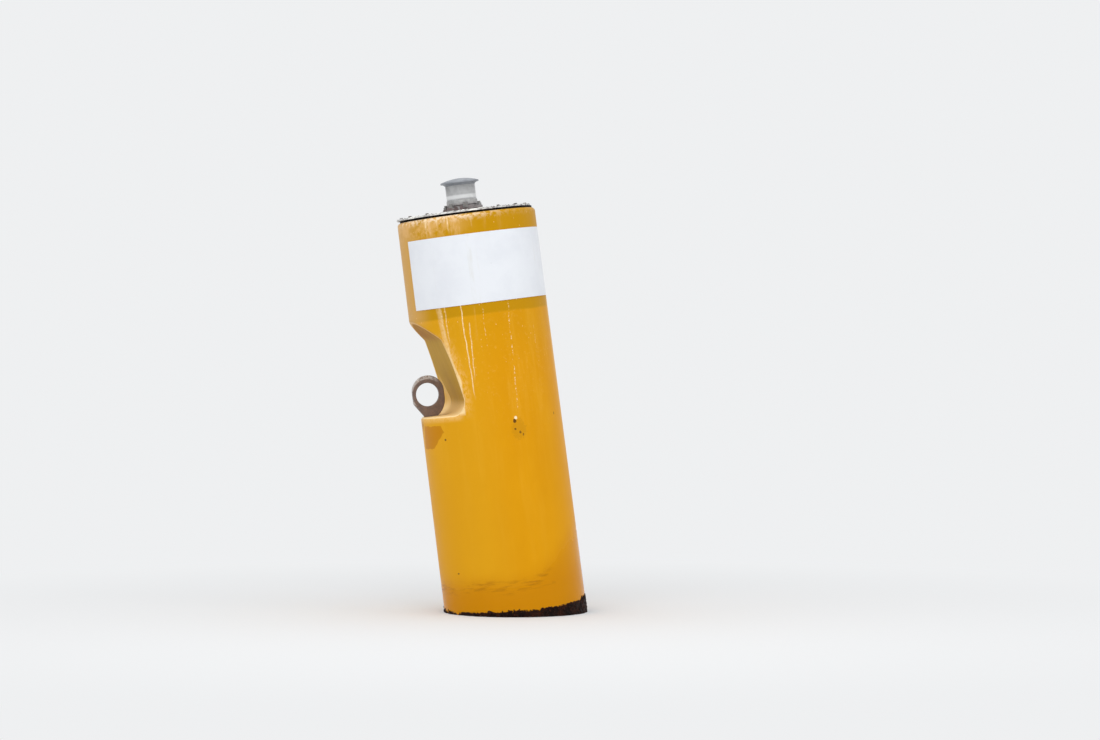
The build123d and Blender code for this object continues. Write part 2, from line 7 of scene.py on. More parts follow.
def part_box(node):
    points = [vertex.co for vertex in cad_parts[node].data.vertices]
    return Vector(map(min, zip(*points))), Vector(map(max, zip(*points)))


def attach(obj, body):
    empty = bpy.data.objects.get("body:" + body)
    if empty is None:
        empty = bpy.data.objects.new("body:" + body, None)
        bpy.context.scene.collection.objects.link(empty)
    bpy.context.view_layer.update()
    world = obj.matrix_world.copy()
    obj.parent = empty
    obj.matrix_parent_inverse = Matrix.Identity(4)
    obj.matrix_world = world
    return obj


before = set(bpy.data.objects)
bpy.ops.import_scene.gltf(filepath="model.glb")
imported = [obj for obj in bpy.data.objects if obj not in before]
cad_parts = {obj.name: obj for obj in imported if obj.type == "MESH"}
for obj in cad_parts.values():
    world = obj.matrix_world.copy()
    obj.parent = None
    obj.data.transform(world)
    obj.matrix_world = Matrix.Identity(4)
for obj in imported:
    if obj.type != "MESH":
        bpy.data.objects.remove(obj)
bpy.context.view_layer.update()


# Hull. One rotationally moulded shell of yellow polyethylene, closed and filled with foam, with its
# colour right through. Rain and birds leave pale runs on it, dust lies in the lifting recess, spray
# keeps the lowest part dark and wet, and below the waterline weed and slime cover it.
HULL_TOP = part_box("hull")[1].z
RADIUS_AT_TOP = 0.36
RADIUS_AT_WATERLINE = 0.37
TAPER = (RADIUS_AT_TOP - RADIUS_AT_WATERLINE) / HULL_TOP
SIGN_LOW_EDGE = 1.624
SOFFIT_HEIGHT = 1.573  # top of the lifting recess
LEDGE_HEIGHT = 1.072  # and its foot
GROWTH_HEIGHT = 0.046  # upper edge of the growth at the hull's axis
GROWTH_SLOPE = -0.045  # and how it changes towards +X
CLIMB_START = 0.22  # beyond this x it climbs again, on the side that rides high
CLIMB_SLOPE = 0.13
TOOTH_HEIGHT = 0.05


def srgb(red, green, blue):
    """A colour as it looks on screen, 0 to 255, as the linear colour that a shader takes."""
    screen = [value / 255 for value in (red, green, blue)]
    linear = [v / 12.92 if v <= 0.04045 else ((v + 0.055) / 1.055) ** 2.4 for v in screen]
    return (*linear, 1.0)


def feed(node, socket, value):
    """Wires one input where the value is a socket, and sets it where it isn't."""
    if isinstance(value, bpy.types.NodeSocket):
        node.id_data.links.new(value, node.inputs[socket])
    else:
        node.inputs[socket].default_value = value


def add_node(tree, kind, inputs=(), **settings):
    """A node with its settings made and its inputs fed."""
    node = tree.nodes.new(kind)
    for name, value in settings.items():
        setattr(node, name, value)
    for socket, value in dict(inputs).items():
        feed(node, socket, value)
    return node


def fed_node(kind, inputs, **settings):
    """A node in the same tree as the sockets that feed it."""
    tree = next(v.id_data for v in inputs.values() if isinstance(v, bpy.types.NodeSocket))
    return add_node(tree, kind, inputs, **settings)


def calc(operation, *values):
    """The result of one sum."""
    return fed_node("ShaderNodeMath", dict(enumerate(values)), operation=operation).outputs[0]


def times(*masks):
    """Masks multiplied together."""
    result = masks[0]
    for mask in masks[1:]:
        result = calc("MULTIPLY", result, mask)
    return result


def ramp(value, low, high, out_low=0.0, out_high=1.0):
    """A soft step. Where low is above high, it falls as the value rises."""
    inputs = {"Value": value, "From Min": low, "From Max": high, "To Min": out_low, "To Max": out_high}
    return fed_node("ShaderNodeMapRange", inputs, interpolation_type="SMOOTHSTEP").outputs[0]


def between(value, low, high, soft):
    """1 from low to high, with soft ends."""
    risen = ramp(value, low - soft, low + soft)
    return times(risen, ramp(value, high + soft, high - soft))


def blend(mask, under, over):
    """The colour over laid on the colour under where the mask is 1."""
    return fed_node("ShaderNodeMix", {0: mask, 6: under, 7: over}, data_type="RGBA").outputs[2]


def diagonal(a, b):
    """The long side of a triangle from its two short ones."""
    squares = calc("ADD", calc("MULTIPLY", a, a), calc("MULTIPLY", b, b))
    return calc("SQRT", squares)


def stretch(vector, x, y, z):
    """Coordinates scaled along each axis."""
    return fed_node("ShaderNodeMapping", {"Vector": vector, "Scale": (x, y, z)}).outputs[0]


def split(vector):
    """The x, y and z of a vector."""
    return fed_node("ShaderNodeSeparateXYZ", {0: vector}).outputs


def noise(vector, scale, detail=3.0, rough=0.5):
    """Cloudy noise, mostly from 0.3 to 0.7."""
    inputs = {"Vector": vector, "Scale": scale, "Detail": detail, "Roughness": rough}
    return fed_node("ShaderNodeTexNoise", inputs).outputs[0]


def spots(vector, scale, size, share):
    """Round spots of this size, in this share of the cells of a random pattern."""
    cells = fed_node("ShaderNodeTexVoronoi", {"Vector": vector, "Scale": scale})
    chosen = fed_node("ShaderNodeSeparateColor", {0: cells.outputs["Color"]}).outputs[0]
    near = ramp(cells.outputs["Distance"], size, size * 0.6)
    return times(near, ramp(chosen, 1.0 - share, 1.02 - share))


def start_finish(name, roughness, metallic=0.0, specular=0.5, **sockets):
    """A material with its shader. Gives the material, the shader and Object coordinates."""
    material = bpy.data.materials.new(name)
    material.use_nodes = True
    tree = material.node_tree
    tree.nodes.clear()
    values = {"Roughness": roughness, "Metallic": metallic, "Specular IOR Level": specular}
    values.update(sockets)
    shader = add_node(tree, "ShaderNodeBsdfPrincipled", values)
    fed_node("ShaderNodeOutputMaterial", {"Surface": shader.outputs[0]})
    place = add_node(tree, "ShaderNodeTexCoord").outputs["Object"]
    return material, shader, place


def relief(shader, height, distance, strength=1.0):
    """Bumps up to this many metres high."""
    inputs = {"Height": height, "Distance": distance, "Strength": strength}
    feed(shader, "Normal", fed_node("ShaderNodeBump", inputs).outputs[0])


def dress(material, slot, *nodes):
    """Gives CAD nodes this material. The slot is not used."""
    for node in nodes:
        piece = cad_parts[node]
        piece.data.materials.clear()
        piece.data.materials.append(material)


def new_group(name, kind, inputs, outputs):
    """An empty node group with named sockets, what comes into it and what goes out."""
    group = bpy.data.node_groups.new(name, kind)
    for label, socket_type, default in inputs:
        socket = group.interface.new_socket(label, in_out="INPUT", socket_type=socket_type)
        if default is not None:
            socket.default_value = default
    for label, socket_type in outputs:
        group.interface.new_socket(label, in_out="OUTPUT", socket_type=socket_type)
    return group, add_node(group, "NodeGroupInput").outputs, add_node(group, "NodeGroupOutput")


def place_group(group, inputs):
    """A group placed in a material with these values. Gives its outputs."""
    return fed_node("ShaderNodeGroup", inputs, node_tree=group).outputs


def growth_line(where, x):
    """Height of the growth's toothed upper edge. The hull floats with a lean, and the edge with it."""
    level = calc("MULTIPLY_ADD", x, GROWTH_SLOPE, GROWTH_HEIGHT)
    beyond = calc("MAXIMUM", calc("SUBTRACT", x, CLIMB_START), 0.0)
    level = calc("MULTIPLY_ADD", beyond, CLIMB_SLOPE, level)
    ragged = noise(where, 34, 5, 0.65)
    teeth = calc("MULTIPLY_ADD", ragged, TOOTH_HEIGHT, -TOOTH_HEIGHT / 2)
    return calc("ADD", level, teeth)


# weed, slime and young mussels below the waterline, on the hull and on the ironwork
growth, given, made = new_group(
    "sea growth",
    "ShaderNodeTree",
    [("Place", "NodeSocketVector", None), ("Thins Below", "NodeSocketFloat", -0.45)],
    [("Cover", "NodeSocketFloat"), ("Color", "NodeSocketColor"), ("Height", "NodeSocketFloat")],
)
DARK_WEED = srgb(24, 8, 5)
BROWN_WEED = srgb(50, 22, 10)
DARK_SLIME = srgb(52, 50, 26)
GREEN_SLIME = srgb(96, 90, 50)
THIN_FILM = srgb(120, 96, 38)
x, y, z = split(given["Place"])
below = calc("SUBTRACT", growth_line(given["Place"], x), z)
thin = ramp(calc("SUBTRACT", z, given["Thins Below"]), 0.0, -0.7)
patches = noise(stretch(given["Place"], 1, 1, 0.6), 6, 5, 0.65)
bare = times(thin, ramp(patches, 0.46, 0.6))
clothed = calc("SUBTRACT", 1.0, bare)
feed(made, "Cover", times(ramp(below, -0.001, 0.005), clothed))
mottle = noise(given["Place"], 21, 5, 0.6)
weed = blend(ramp(mottle, 0.4, 0.62), DARK_WEED, BROWN_WEED)
slime = blend(ramp(mottle, 0.4, 0.6), DARK_SLIME, GREEN_SLIME)
film = blend(ramp(patches, 0.35, 0.6), slime, THIN_FILM)
feed(made, "Color", blend(ramp(z, -0.05, -0.35), weed, film))
pebbles = fed_node("ShaderNodeTexVoronoi", {"Vector": given["Place"], "Scale": 95.0})
domes = calc("SUBTRACT", 1.0, pebbles.outputs["Distance"])
feed(made, "Height", calc("ADD", domes, mottle))

# chalky runs that rain draws down a wall, in thin broken upright lines
runs, given, made = new_group(
    "rain runs",
    "ShaderNodeTree",
    [
        ("Place", "NodeSocketVector", None),
        ("Lines", "NodeSocketFloat", 30.0),
        ("Amount", "NodeSocketFloat", 0.5),
    ],
    [("Mask", "NodeSocketFloat")],
)
lines = noise(stretch(given["Place"], 1, 1, 0.03), given["Lines"], 4, 0.65)
breaks = noise(stretch(given["Place"], 1, 1, 0.4), 17, 5, 0.7)
start = calc("MULTIPLY_ADD", given["Amount"], -0.25, 0.74)
thread = ramp(calc("SUBTRACT", lines, start), 0.0, 0.13)
feed(made, "Mask", times(thread, ramp(breaks, 0.4, 0.66)))

# the plastic's tones, from the deepest to the palest; the side and flank tones are painted sheen, and
# the last is a painted highlight
PATCH_YELLOW = srgb(194, 126, 0)
WET_YELLOW = srgb(200, 131, 0)
DEEP_YELLOW = srgb(186, 136, 2)
DARKER_YELLOW = srgb(214, 147, 3)
HULL_YELLOW = srgb(219, 153, 6)
SIDE_SHEEN_YELLOW = srgb(224, 172, 36)
FADED_YELLOW = srgb(230, 172, 56)
WASHED_YELLOW = srgb(228, 180, 112)
FLANK_SHEEN_YELLOW = srgb(222, 178, 120)
EDGE_HIGHLIGHT_YELLOW = srgb(238, 196, 120)

# what lies or dries on it
DUST = srgb(238, 184, 92)
SPATTER = srgb(246, 204, 146)
CHALK = srgb(250, 224, 178)
TOP_RUN = srgb(240, 200, 150)
SIGN_RUN = srgb(238, 190, 112)
CRUST = srgb(248, 226, 196)
SCUM = srgb(158, 94, 6)
RUST_STAIN = srgb(132, 82, 42)

# the recess's walls and ledge, painted with their light and shade, and its worn rim with a painted
# highlight
SHADED_LOWER_WALL = srgb(180, 140, 46)
SHADED_UPPER_WALL = srgb(160, 108, 32)
CLOUDED_WALL = srgb(196, 152, 60)
SUNLIT_WALL = srgb(230, 188, 112)
SHADOW_EDGE_SHADE = srgb(140, 96, 36)
LIT_WALL_BY_LEDGE = srgb(236, 194, 122)
LEDGE_DUST_AND_LIGHT = srgb(252, 220, 160)
PALE_WASH = srgb(242, 196, 124)
WORN_AND_LIT_RIM = srgb(252, 226, 174)

hull_plastic, shader, place = start_finish("hull plastic", 0.4, specular=0.08)
x, y, z = split(place)


def facing(angle):
    """Distance round the hull from this angle in degrees, in metres, and a mask of that side."""
    sine, cosine = math.sin(math.radians(angle)), math.cos(math.radians(angle))
    across = calc("ADD", calc("MULTIPLY", x, -sine), calc("MULTIPLY", y, cosine))
    out = calc("ADD", calc("MULTIPLY", x, cosine), calc("MULTIPLY", y, sine))
    return across, ramp(out, 0.15, 0.25)


broad = noise(stretch(place, 1, 1, 0.5), 2.2, 4, 0.6)
fine = noise(place, 48, 5, 0.7)
colour = blend(ramp(broad, 0.35, 0.65), DARKER_YELLOW, HULL_YELLOW)
faded = ramp(noise(stretch(place, 1, 1, 0.1), 15, 5, 0.7), 0.48, 0.74, 0.0, 0.3)
colour = blend(times(faded, ramp(z, 0.3, 1.3, 0.35, 1.0)), colour, FADED_YELLOW)
dusty = times(ramp(fine, 0.54, 0.68), ramp(z, 0.7, 1.5), 0.18)
colour = blend(dusty, colour, DUST)
# painted sheen: the -X side is paler, where the sky's light glances off it
colour = blend(ramp(x, 0.05, -0.2, 0.0, 0.3), colour, SIDE_SHEEN_YELLOW)

# round the signs the plastic has kept its deeper yellow, and the top edge is crusted
wavy = calc("MULTIPLY_ADD", broad, 0.03, z)
kept = ramp(wavy, SIGN_LOW_EDGE - 0.049, SIGN_LOW_EDGE - 0.034)
colour = blend(ramp(z, 1.25, 1.55, 0.0, 0.22), colour, DEEP_YELLOW)
colour = blend(times(kept, 0.85), colour, DEEP_YELLOW)
washed = times(ramp(x, 0.0, -0.22), ramp(noise(place, 11, 5, 0.7), 0.42, 0.56))
colour = blend(times(washed, ramp(z, 1.95, 2.04), 0.6), colour, WASHED_YELLOW)
crust = times(ramp(z, HULL_TOP - 0.045, HULL_TOP - 0.004), ramp(fine, 0.43, 0.58))
crust = times(crust, ramp(x, 0.2, -0.15, 0.12, 1.0))
colour = blend(times(crust, 0.85), colour, CRUST)
# painted sheen along the upper -X flank, where light glances off the curve
flank_sheen = times(ramp(x, -0.28, -0.355), ramp(z, 1.5, 1.6))
colour = blend(times(flank_sheen, 0.45), colour, FLANK_SHEEN_YELLOW)

# painted highlight: a pale band along the +X edge, below the signs' ends, where light glances off the
# plastic
edge_highlight = noise(stretch(place, 1, 1, 0.15), 22, 5, 0.7)
edge_highlight = times(ramp(edge_highlight, 0.3, 0.6, 0.45, 1.0), ramp(x, 0.322, 0.354))
edge_highlight = times(edge_highlight, ramp(y, 0.15, -0.02), ramp(z, 0.7, 1.35))
ragged_end = calc("MULTIPLY_ADD", broad, 0.25, z)
edge_highlight = times(edge_highlight, ramp(ragged_end, 1.79, 1.7), 0.55)
colour = blend(edge_highlight, colour, EDGE_HIGHLIGHT_YELLOW)

# rain runs below the top edge and below the signs
from_top = ramp(z, HULL_TOP - 0.15, HULL_TOP - 0.02)
from_top = times(from_top, ramp(x, 0.1, -0.15, 0.12, 1.0))
top_runs = place_group(runs, {"Place": place, "Lines": 17.0, "Amount": 0.9})["Mask"]
colour = blend(times(top_runs, from_top, 0.85), colour, TOP_RUN)
below_sign = ramp(z, SIGN_LOW_EDGE + 0.006, SIGN_LOW_EDGE - 0.024)
from_sign = times(ramp(z, 1.1, 1.55), below_sign, ramp(broad, 0.45, 0.58))
sign_runs = place_group(runs, {"Place": place, "Lines": 30.0, "Amount": 0.6})["Mask"]
colour = blend(times(sign_runs, from_sign, 0.6), colour, SIGN_RUN)

# single runs: angle and height where each starts and ends, half width, strength, and how beaded it is
RUNS = [
    (-114.8, 1.63, -111.9, 1.13, 0.0042, 1.0, 0.35),
    (-108.8, 1.53, -110.6, 1.22, 0.004, 0.85, 0.5),
    (-135.4, 1.63, -128.0, 1.3, 0.017, 0.38, 0.3),
    (-133.3, 1.63, -126.1, 1.24, 0.009, 0.6, 0.5),
    (-128.9, 1.63, -127.3, 1.41, 0.005, 0.7, 0.6),
    (-75.5, 1.63, -78.7, 1.03, 0.0038, 0.85, 1.0),
    (-97.5, 1.63, -96.6, 1.38, 0.003, 0.45, 1.0),
    (-52.0, 1.5, -52.6, 1.3, 0.003, 0.35, 1.0),
    (-137.1, 2.08, -136.6, 1.98, 0.008, 0.9, 0.4),
    (-126.0, 2.08, -125.7, 2.0, 0.005, 0.8, 0.5),
    (-116.9, 2.08, -116.4, 1.975, 0.006, 0.85, 0.5),
    (-97.7, 2.08, -97.2, 2.0, 0.0055, 0.7, 0.6),
    (38.0, 1.63, 38.5, 1.22, 0.005, 0.8, 0.5),
    (84.0, 1.63, 84.8, 1.05, 0.004, 0.9, 0.8),
    (121.0, 1.63, 121.4, 1.35, 0.008, 0.7, 0.5),
    (66.0, 2.08, 66.2, 1.99, 0.007, 0.8, 0.5),
    (140.0, 2.08, 140.0, 1.99, 0.006, 0.8, 0.5),
]
RUN_FADE = 0.09  # length over which a run thins out at its foot
RUN_START = 0.006  # and half the length over which it begins
wander = calc("MULTIPLY_ADD", noise(stretch(place, 0, 0, 1), 9, 3), 0.024, -0.012)
beads = ramp(noise(stretch(place, 1, 1, 0.7), 120, 3, 0.7), 0.5, 0.6)
clots = ramp(noise(place, 60, 4, 0.7), 0.32, 0.5, 0.3, 1.0)
for angle, top, end_angle, bottom, half_width, strength, beaded in RUNS:
    across, near = facing((angle + end_angle) / 2)
    slope = RADIUS_AT_TOP * math.radians(angle - end_angle) / (top - bottom)
    centre = calc("MULTIPLY", calc("SUBTRACT", z, (top + bottom) / 2), slope)
    off = calc("ABSOLUTE", calc("ADD", calc("SUBTRACT", across, centre), wander))
    mask = times(ramp(off, half_width, half_width * 0.25), near)
    mask = times(mask, ramp(z, bottom, bottom + RUN_FADE))
    mask = times(mask, ramp(z, top + RUN_START, top - RUN_START))
    broken = calc("MULTIPLY_ADD", beads, beaded, 1.0 - beaded)
    colour = blend(times(mask, broken, clots, strength), colour, CHALK)

spatter = spots(stretch(place, 1, 1, 0.6), 70, 0.17, 0.16)
colour = blend(times(spatter, ramp(z, 1.0, 1.6), 0.6), colour, SPATTER)

# the recess in painted shade, darkest on the soffit, with painted sunlight on the far half of its foot
# and a painted shadow edge beside it, painted light on the foot fillet, and dust and painted light on
# the ledge; and a rust stain below the eye. The shadow edge runs up the back wall at y = start + slope
# * z, where start and slope are the two numbers below.
SHADOW_EDGE_START = -0.403
SHADOW_EDGE_SLOPE = 0.5
away = diagonal(x, y)
skin = calc("MULTIPLY_ADD", z, TAPER, RADIUS_AT_WATERLINE)
depth = calc("SUBTRACT", skin, away)
sideways = calc("ABSOLUTE", y)
recess_span = between(z, LEDGE_HEIGHT - 0.019, SOFFIT_HEIGHT + 0.027, 0.015)
inside = times(ramp(depth, 0.007, 0.02), recess_span)
cloudy = noise(stretch(place, 1, 1, 0.4), 13, 4)
grain = noise(stretch(place, 1, 1, 0.6), 90, 5, 0.7)
# painted shade: the recess's walls are darker than the hull's skin, darkest high up on the soffit
walls = blend(ramp(z, 1.44, 1.5), SHADED_LOWER_WALL, SHADED_UPPER_WALL)
walls = blend(ramp(cloudy, 0.4, 0.62, 0.0, 0.35), walls, CLOUDED_WALL)
shadow_edge = calc("SUBTRACT", y, calc("MULTIPLY_ADD", z, SHADOW_EDGE_SLOPE, SHADOW_EDGE_START))
# painted sunlight on the far half of the foot, beyond the shadow edge
sunlit_foot = times(ramp(shadow_edge, -0.002, 0.014), ramp(z, 1.3, 1.21))
walls = blend(times(sunlit_foot, 0.8), walls, SUNLIT_WALL)
# a darker painted shadow line along the shadow edge
shadow_edge = times(between(shadow_edge, -0.014, -0.002, 0.005), ramp(z, 1.28, 1.2), 0.5)
walls = blend(shadow_edge, walls, SHADOW_EDGE_SHADE)
# painted light on the foot fillet, which faces up
near_ledge = ramp(z, LEDGE_HEIGHT + 0.081, LEDGE_HEIGHT + 0.021, 0.0, 0.85)
walls = blend(near_ledge, walls, LIT_WALL_BY_LEDGE)
# dust on the ledge, together with painted light, since the ledge faces up
ledge = ramp(z, LEDGE_HEIGHT + 0.071, LEDGE_HEIGHT + 0.021)
ledge = times(ramp(depth, 0.17, 0.05), ledge)
walls = blend(times(ledge, 0.8), walls, LEDGE_DUST_AND_LIGHT)
colour = blend(times(inside, 0.95), colour, walls)
stain = ramp(z, LEDGE_HEIGHT + 0.026, LEDGE_HEIGHT + 0.004)
stain = times(ramp(sideways, 0.036, 0.014), stain)
stain = times(stain, ramp(z, LEDGE_HEIGHT - 0.119, LEDGE_HEIGHT + 0.001))
stain = times(stain, ramp(x, -0.2, -0.24), ramp(fine, 0.3, 0.6))
colour = blend(times(stain, 0.8), colour, RUST_STAIN)

# round the recess the plastic is worn pale on the rim, which also carries a painted highlight,
# strongest low down, with a pale wash on the skin beside it. The rim is upright at its foot and leans
# outwards above, at x = RIM_START + RIM_SLOPE * z.
RIM_FOOT = -0.1965
RIM_START = 0.1448
RIM_SLOPE = -0.274
rim_line = calc("MINIMUM", calc("MULTIPLY_ADD", z, RIM_SLOPE, RIM_START), RIM_FOOT)
beside = calc("SUBTRACT", x, rim_line)
on_skin = ramp(depth, 0.016, 0.01)
wash = between(z, LEDGE_HEIGHT + 0.011, 1.47, 0.05)
wash = times(ramp(beside, 0.06, 0.004), wash, on_skin)
front = between(z, LEDGE_HEIGHT - 0.025, LEDGE_HEIGHT + 0.021, 0.014)
front = times(front, ramp(x, -0.19, -0.23), on_skin)
wash = times(wash, ramp(grain, 0.38, 0.62), 0.55)
wash = calc("MAXIMUM", wash, times(front, ramp(grain, 0.26, 0.52), 0.55))
colour = blend(wash, colour, PALE_WASH)
# the worn pale rim, with a painted highlight that grows towards its foot
edge_band = times(between(depth, 0.003, 0.012, 0.0015), recess_span)
skin_band = between(z, LEDGE_HEIGHT + 0.001, 1.45, 0.012)
skin_band = times(between(beside, -0.02, 0.006, 0.004), skin_band, on_skin)
worn = calc("MAXIMUM", edge_band, skin_band)
worn = times(worn, ramp(z, 1.5, LEDGE_HEIGHT + 0.081, 0.25, 1.0))
worn = times(worn, ramp(grain, 0.3, 0.5, 0.6, 1.0), 0.8)
colour = blend(worn, colour, WORN_AND_LIT_RIM)

# a repair in a deeper yellow below the recess: for each corner its distance round the hull from the
# patch's angle in degrees, and its height
PATCH_ANGLE = -161.0
PATCH = [
    (-0.08, 1.028),
    (0.088, 1.024),
    (0.109, 0.983),
    (0.034, 0.927),
    (0.014, 0.909),
    (-0.115, 0.907),
]
across, patch = facing(PATCH_ANGLE)
ragged = calc("MULTIPLY_ADD", noise(place, 36, 3), 0.018, -0.009)
for (start_across, start_z), (end_across, end_z) in zip(PATCH, PATCH[1:] + PATCH[:1]):
    length = math.hypot(end_across - start_across, end_z - start_z)
    step_across, step_z = (end_across - start_across) / length, (end_z - start_z) / length
    right_of = calc("MULTIPLY", calc("SUBTRACT", across, start_across), step_z)
    under = calc("MULTIPLY", calc("SUBTRACT", start_z, z), step_across)
    within = calc("ADD", calc("ADD", right_of, under), ragged)
    patch = times(patch, ramp(within, -0.0015, 0.0025))
colour = blend(times(patch, 0.92), colour, PATCH_YELLOW)

# chips and scrapes: angle, height, half width, half height, strength, and shade. The pale mark at
# -81.4° is a painted highlight on a small fitting, above the dark mark at -82.4°.
MARKS = [
    (-79.6, 0.965, 0.045, 0.06, 0.45, "deep"),
    (-82.4, 1.008, 0.01, 0.012, 0.95, "dark"),
    (-81.4, 1.024, 0.009, 0.01, 0.9, "pale"),
    (-82.8, 0.967, 0.006, 0.006, 0.9, "dark"),
    (-78.9, 0.948, 0.007, 0.008, 0.8, "dark"),
    (-76.5, 0.935, 0.004, 0.008, 0.8, "dark"),
    (-39.1, 1.015, 0.004, 0.009, 0.9, "dark"),
    (-143.6, 0.952, 0.007, 0.006, 0.9, "dark"),
    (-147.1, 0.261, 0.007, 0.005, 0.9, "dark"),
    (-66.0, 0.162, 0.014, 0.007, 0.8, "dark"),
    (-72.0, 0.155, 0.06, 0.003, 0.7, "dark"),
    (-82.0, 0.148, 0.05, 0.003, 0.5, "dark"),
    (118.0, 1.22, 0.01, 0.014, 0.9, "dark"),
    (62.0, 0.72, 0.05, 0.004, 0.6, "dark"),
    (20.0, 0.45, 0.005, 0.04, 0.7, "pale"),
    (97.0, 0.5, 0.004, 0.06, 0.5, "pale"),
]
MARK_COLOURS = {
    "dark": srgb(92, 62, 24),
    "deep": srgb(190, 132, 12),
    "pale": srgb(252, 236, 200),
}
jagged = calc("MULTIPLY_ADD", noise(place, 110, 4, 0.65), 2.2, -1.1)
for angle, level, half_width, half_height, strength, shade in MARKS:
    across, near = facing(angle)
    share_across = calc("DIVIDE", across, half_width)
    share_up = calc("DIVIDE", calc("SUBTRACT", z, level), half_height)
    spread = calc("MULTIPLY_ADD", share_across, share_across, jagged)
    spread = calc("MULTIPLY_ADD", share_up, share_up, spread)
    mark = times(ramp(spread, 1.0, 0.5), near, strength)
    colour = blend(mark, colour, MARK_COLOURS[shade])

# the foot of the hull stays wet, highest on the +X side, with a dirty line where the spray dries
rise = ramp(x, 0.02, 0.33, 0.0, 0.2)
drips = noise(stretch(place, 1, 1, 0.3), 7, 5, 0.6)
splashed = calc("MULTIPLY_ADD", noise(place, 5, 4), 0.08, 0.17)
splashed = calc("ADD", splashed, times(rise, calc("MULTIPLY_ADD", drips, 1.3, 0.35)))
above_wet = calc("SUBTRACT", z, splashed)
wet = ramp(above_wet, 0.07, -0.09)
colour = blend(times(wet, ramp(z, 0.14, 0.32, 0.9, 0.6)), colour, WET_YELLOW)
scum = noise(stretch(place, 1, 1, 7), 8, 5, 0.7)
scum = times(ramp(scum, 0.44, 0.64), between(above_wet, -0.06, -0.005, 0.015), 0.55)
scum = times(scum, ramp(z, 0.27, 0.19))
colour = blend(scum, colour, SCUM)

covered = place_group(growth, {"Place": place, "Thins Below": -0.45})
colour = blend(covered["Cover"], colour, covered["Color"])
feed(shader, "Base Color", colour)
gloss = calc("MULTIPLY_ADD", wet, -0.2, 0.42)
gloss = calc("MULTIPLY_ADD", inside, 0.2, gloss)
feed(shader, "Roughness", calc("MULTIPLY_ADD", covered["Cover"], 0.3, gloss))
waves = calc("MULTIPLY_ADD", noise(place, 150, 2), 0.03, noise(place, 7, 2))
raised = times(covered["Height"], covered["Cover"], 1.6)
relief(shader, calc("ADD", waves, raised), 0.003, 0.7)
dress(hull_plastic, "hull_yellow", "hull")


# Mussels and barnacles on the hull. Living lumps that hold on by themselves: mussels packed in a
# ragged rim at the growth line, and barnacle cones scattered further down.
def grown(name, group, inputs, path=None):
    """A geometry tree's result as a plain mesh. A path gives the tree points and edges to follow."""
    seed_mesh = bpy.data.meshes.new(name + "_seed")
    if path:
        seed_mesh.from_pydata(path[0], path[1], [])
    seed = bpy.data.objects.new(name + "_seed", seed_mesh)
    bpy.context.collection.objects.link(seed)
    modifier = seed.modifiers.new("grow", "NODES")
    modifier.node_group = group
    sockets = {s.name: s.identifier for s in group.interface.items_tree if s.in_out == "INPUT"}
    for label, value in inputs.items():
        modifier[sockets[label]] = value
    mesh = bpy.data.meshes.new_from_object(seed.evaluated_get(bpy.context.evaluated_depsgraph_get()))
    mesh.name = name
    bpy.data.objects.remove(seed)
    piece = bpy.data.objects.new(name, mesh)
    bpy.context.collection.objects.link(piece)
    return piece


def chance(low, high, seed, kind="FLOAT"):
    """A random number or vector for each point, with its own seed."""
    node = add_node(seed.id_data, "FunctionNodeRandomValue", data_type=kind)
    for label, value in {"Min": low, "Max": high, "Seed": seed}.items():
        index = [i for i, s in enumerate(node.inputs) if s.name == label and s.enabled][0]
        feed(node, index, value)
    return [s for s in node.outputs if s.enabled][0]


def painted(made, instances, material):
    """Ends a geometry tree: instances made real and given their material."""
    real = fed_node("GeometryNodeRealizeInstances", {"Geometry": instances}).outputs[0]
    coated = fed_node("GeometryNodeSetMaterial", {"Geometry": real, "Material": material})
    feed(made, "Geometry", coated.outputs[0])


MUSSEL_BLACK = srgb(18, 6, 5)
MUSSEL_BROWN = srgb(58, 26, 13)
mussel_shell, shader, place = start_finish("mussel shell", 0.5, specular=0.12)
tone = ramp(noise(place, 55, 3), 0.4, 0.65)
feed(shader, "Base Color", blend(tone, MUSSEL_BLACK, MUSSEL_BROWN))
relief(shader, noise(place, 400, 3), 0.001)

BARNACLE_GREY = srgb(118, 108, 82)
BARNACLE_WHITE = srgb(184, 176, 150)
barnacle_shell, shader, place = start_finish("barnacle shell", 0.7)
tone = ramp(noise(place, 30, 3), 0.35, 0.65)
feed(shader, "Base Color", blend(tone, BARNACLE_GREY, BARNACLE_WHITE))
relief(shader, noise(stretch(place, 1, 1, 0.3), 500, 2), 0.001)

settlers, given, made = new_group(
    "settlers",
    "GeometryNodeTree",
    [
        ("Base", "NodeSocketObject", None),
        ("Lowest", "NodeSocketFloat", -0.12),
        ("Above Line", "NodeSocketFloat", 0.0),
        ("Per Square Metre", "NodeSocketFloat", 2000.0),
        ("Least Size", "NodeSocketFloat", 0.003),
        ("Greatest Size", "NodeSocketFloat", 0.009),
        ("Cones", "NodeSocketBool", False),
        ("Seed", "NodeSocketInt", 1),
        ("Shell", "NodeSocketMaterial", None),
    ],
    [("Geometry", "NodeSocketGeometry")],
)
base = fed_node("GeometryNodeObjectInfo", {"Object": given["Base"]}).outputs["Geometry"]
where = add_node(settlers, "GeometryNodeInputPosition").outputs[0]
x, y, z = split(where)
scatter_inputs = {"Mesh": base, "Density": given["Per Square Metre"], "Seed": given["Seed"]}
scattered = fed_node("GeometryNodeDistributePointsOnFaces", scatter_inputs).outputs
line = calc("ADD", growth_line(where, x), given["Above Line"])
too_high = calc("GREATER_THAN", z, line)
too_low = calc("LESS_THAN", z, given["Lowest"])
bald = calc("LESS_THAN", noise(where, 8, 2), 0.42)
outside = calc("MAXIMUM", calc("MAXIMUM", too_high, too_low), bald)
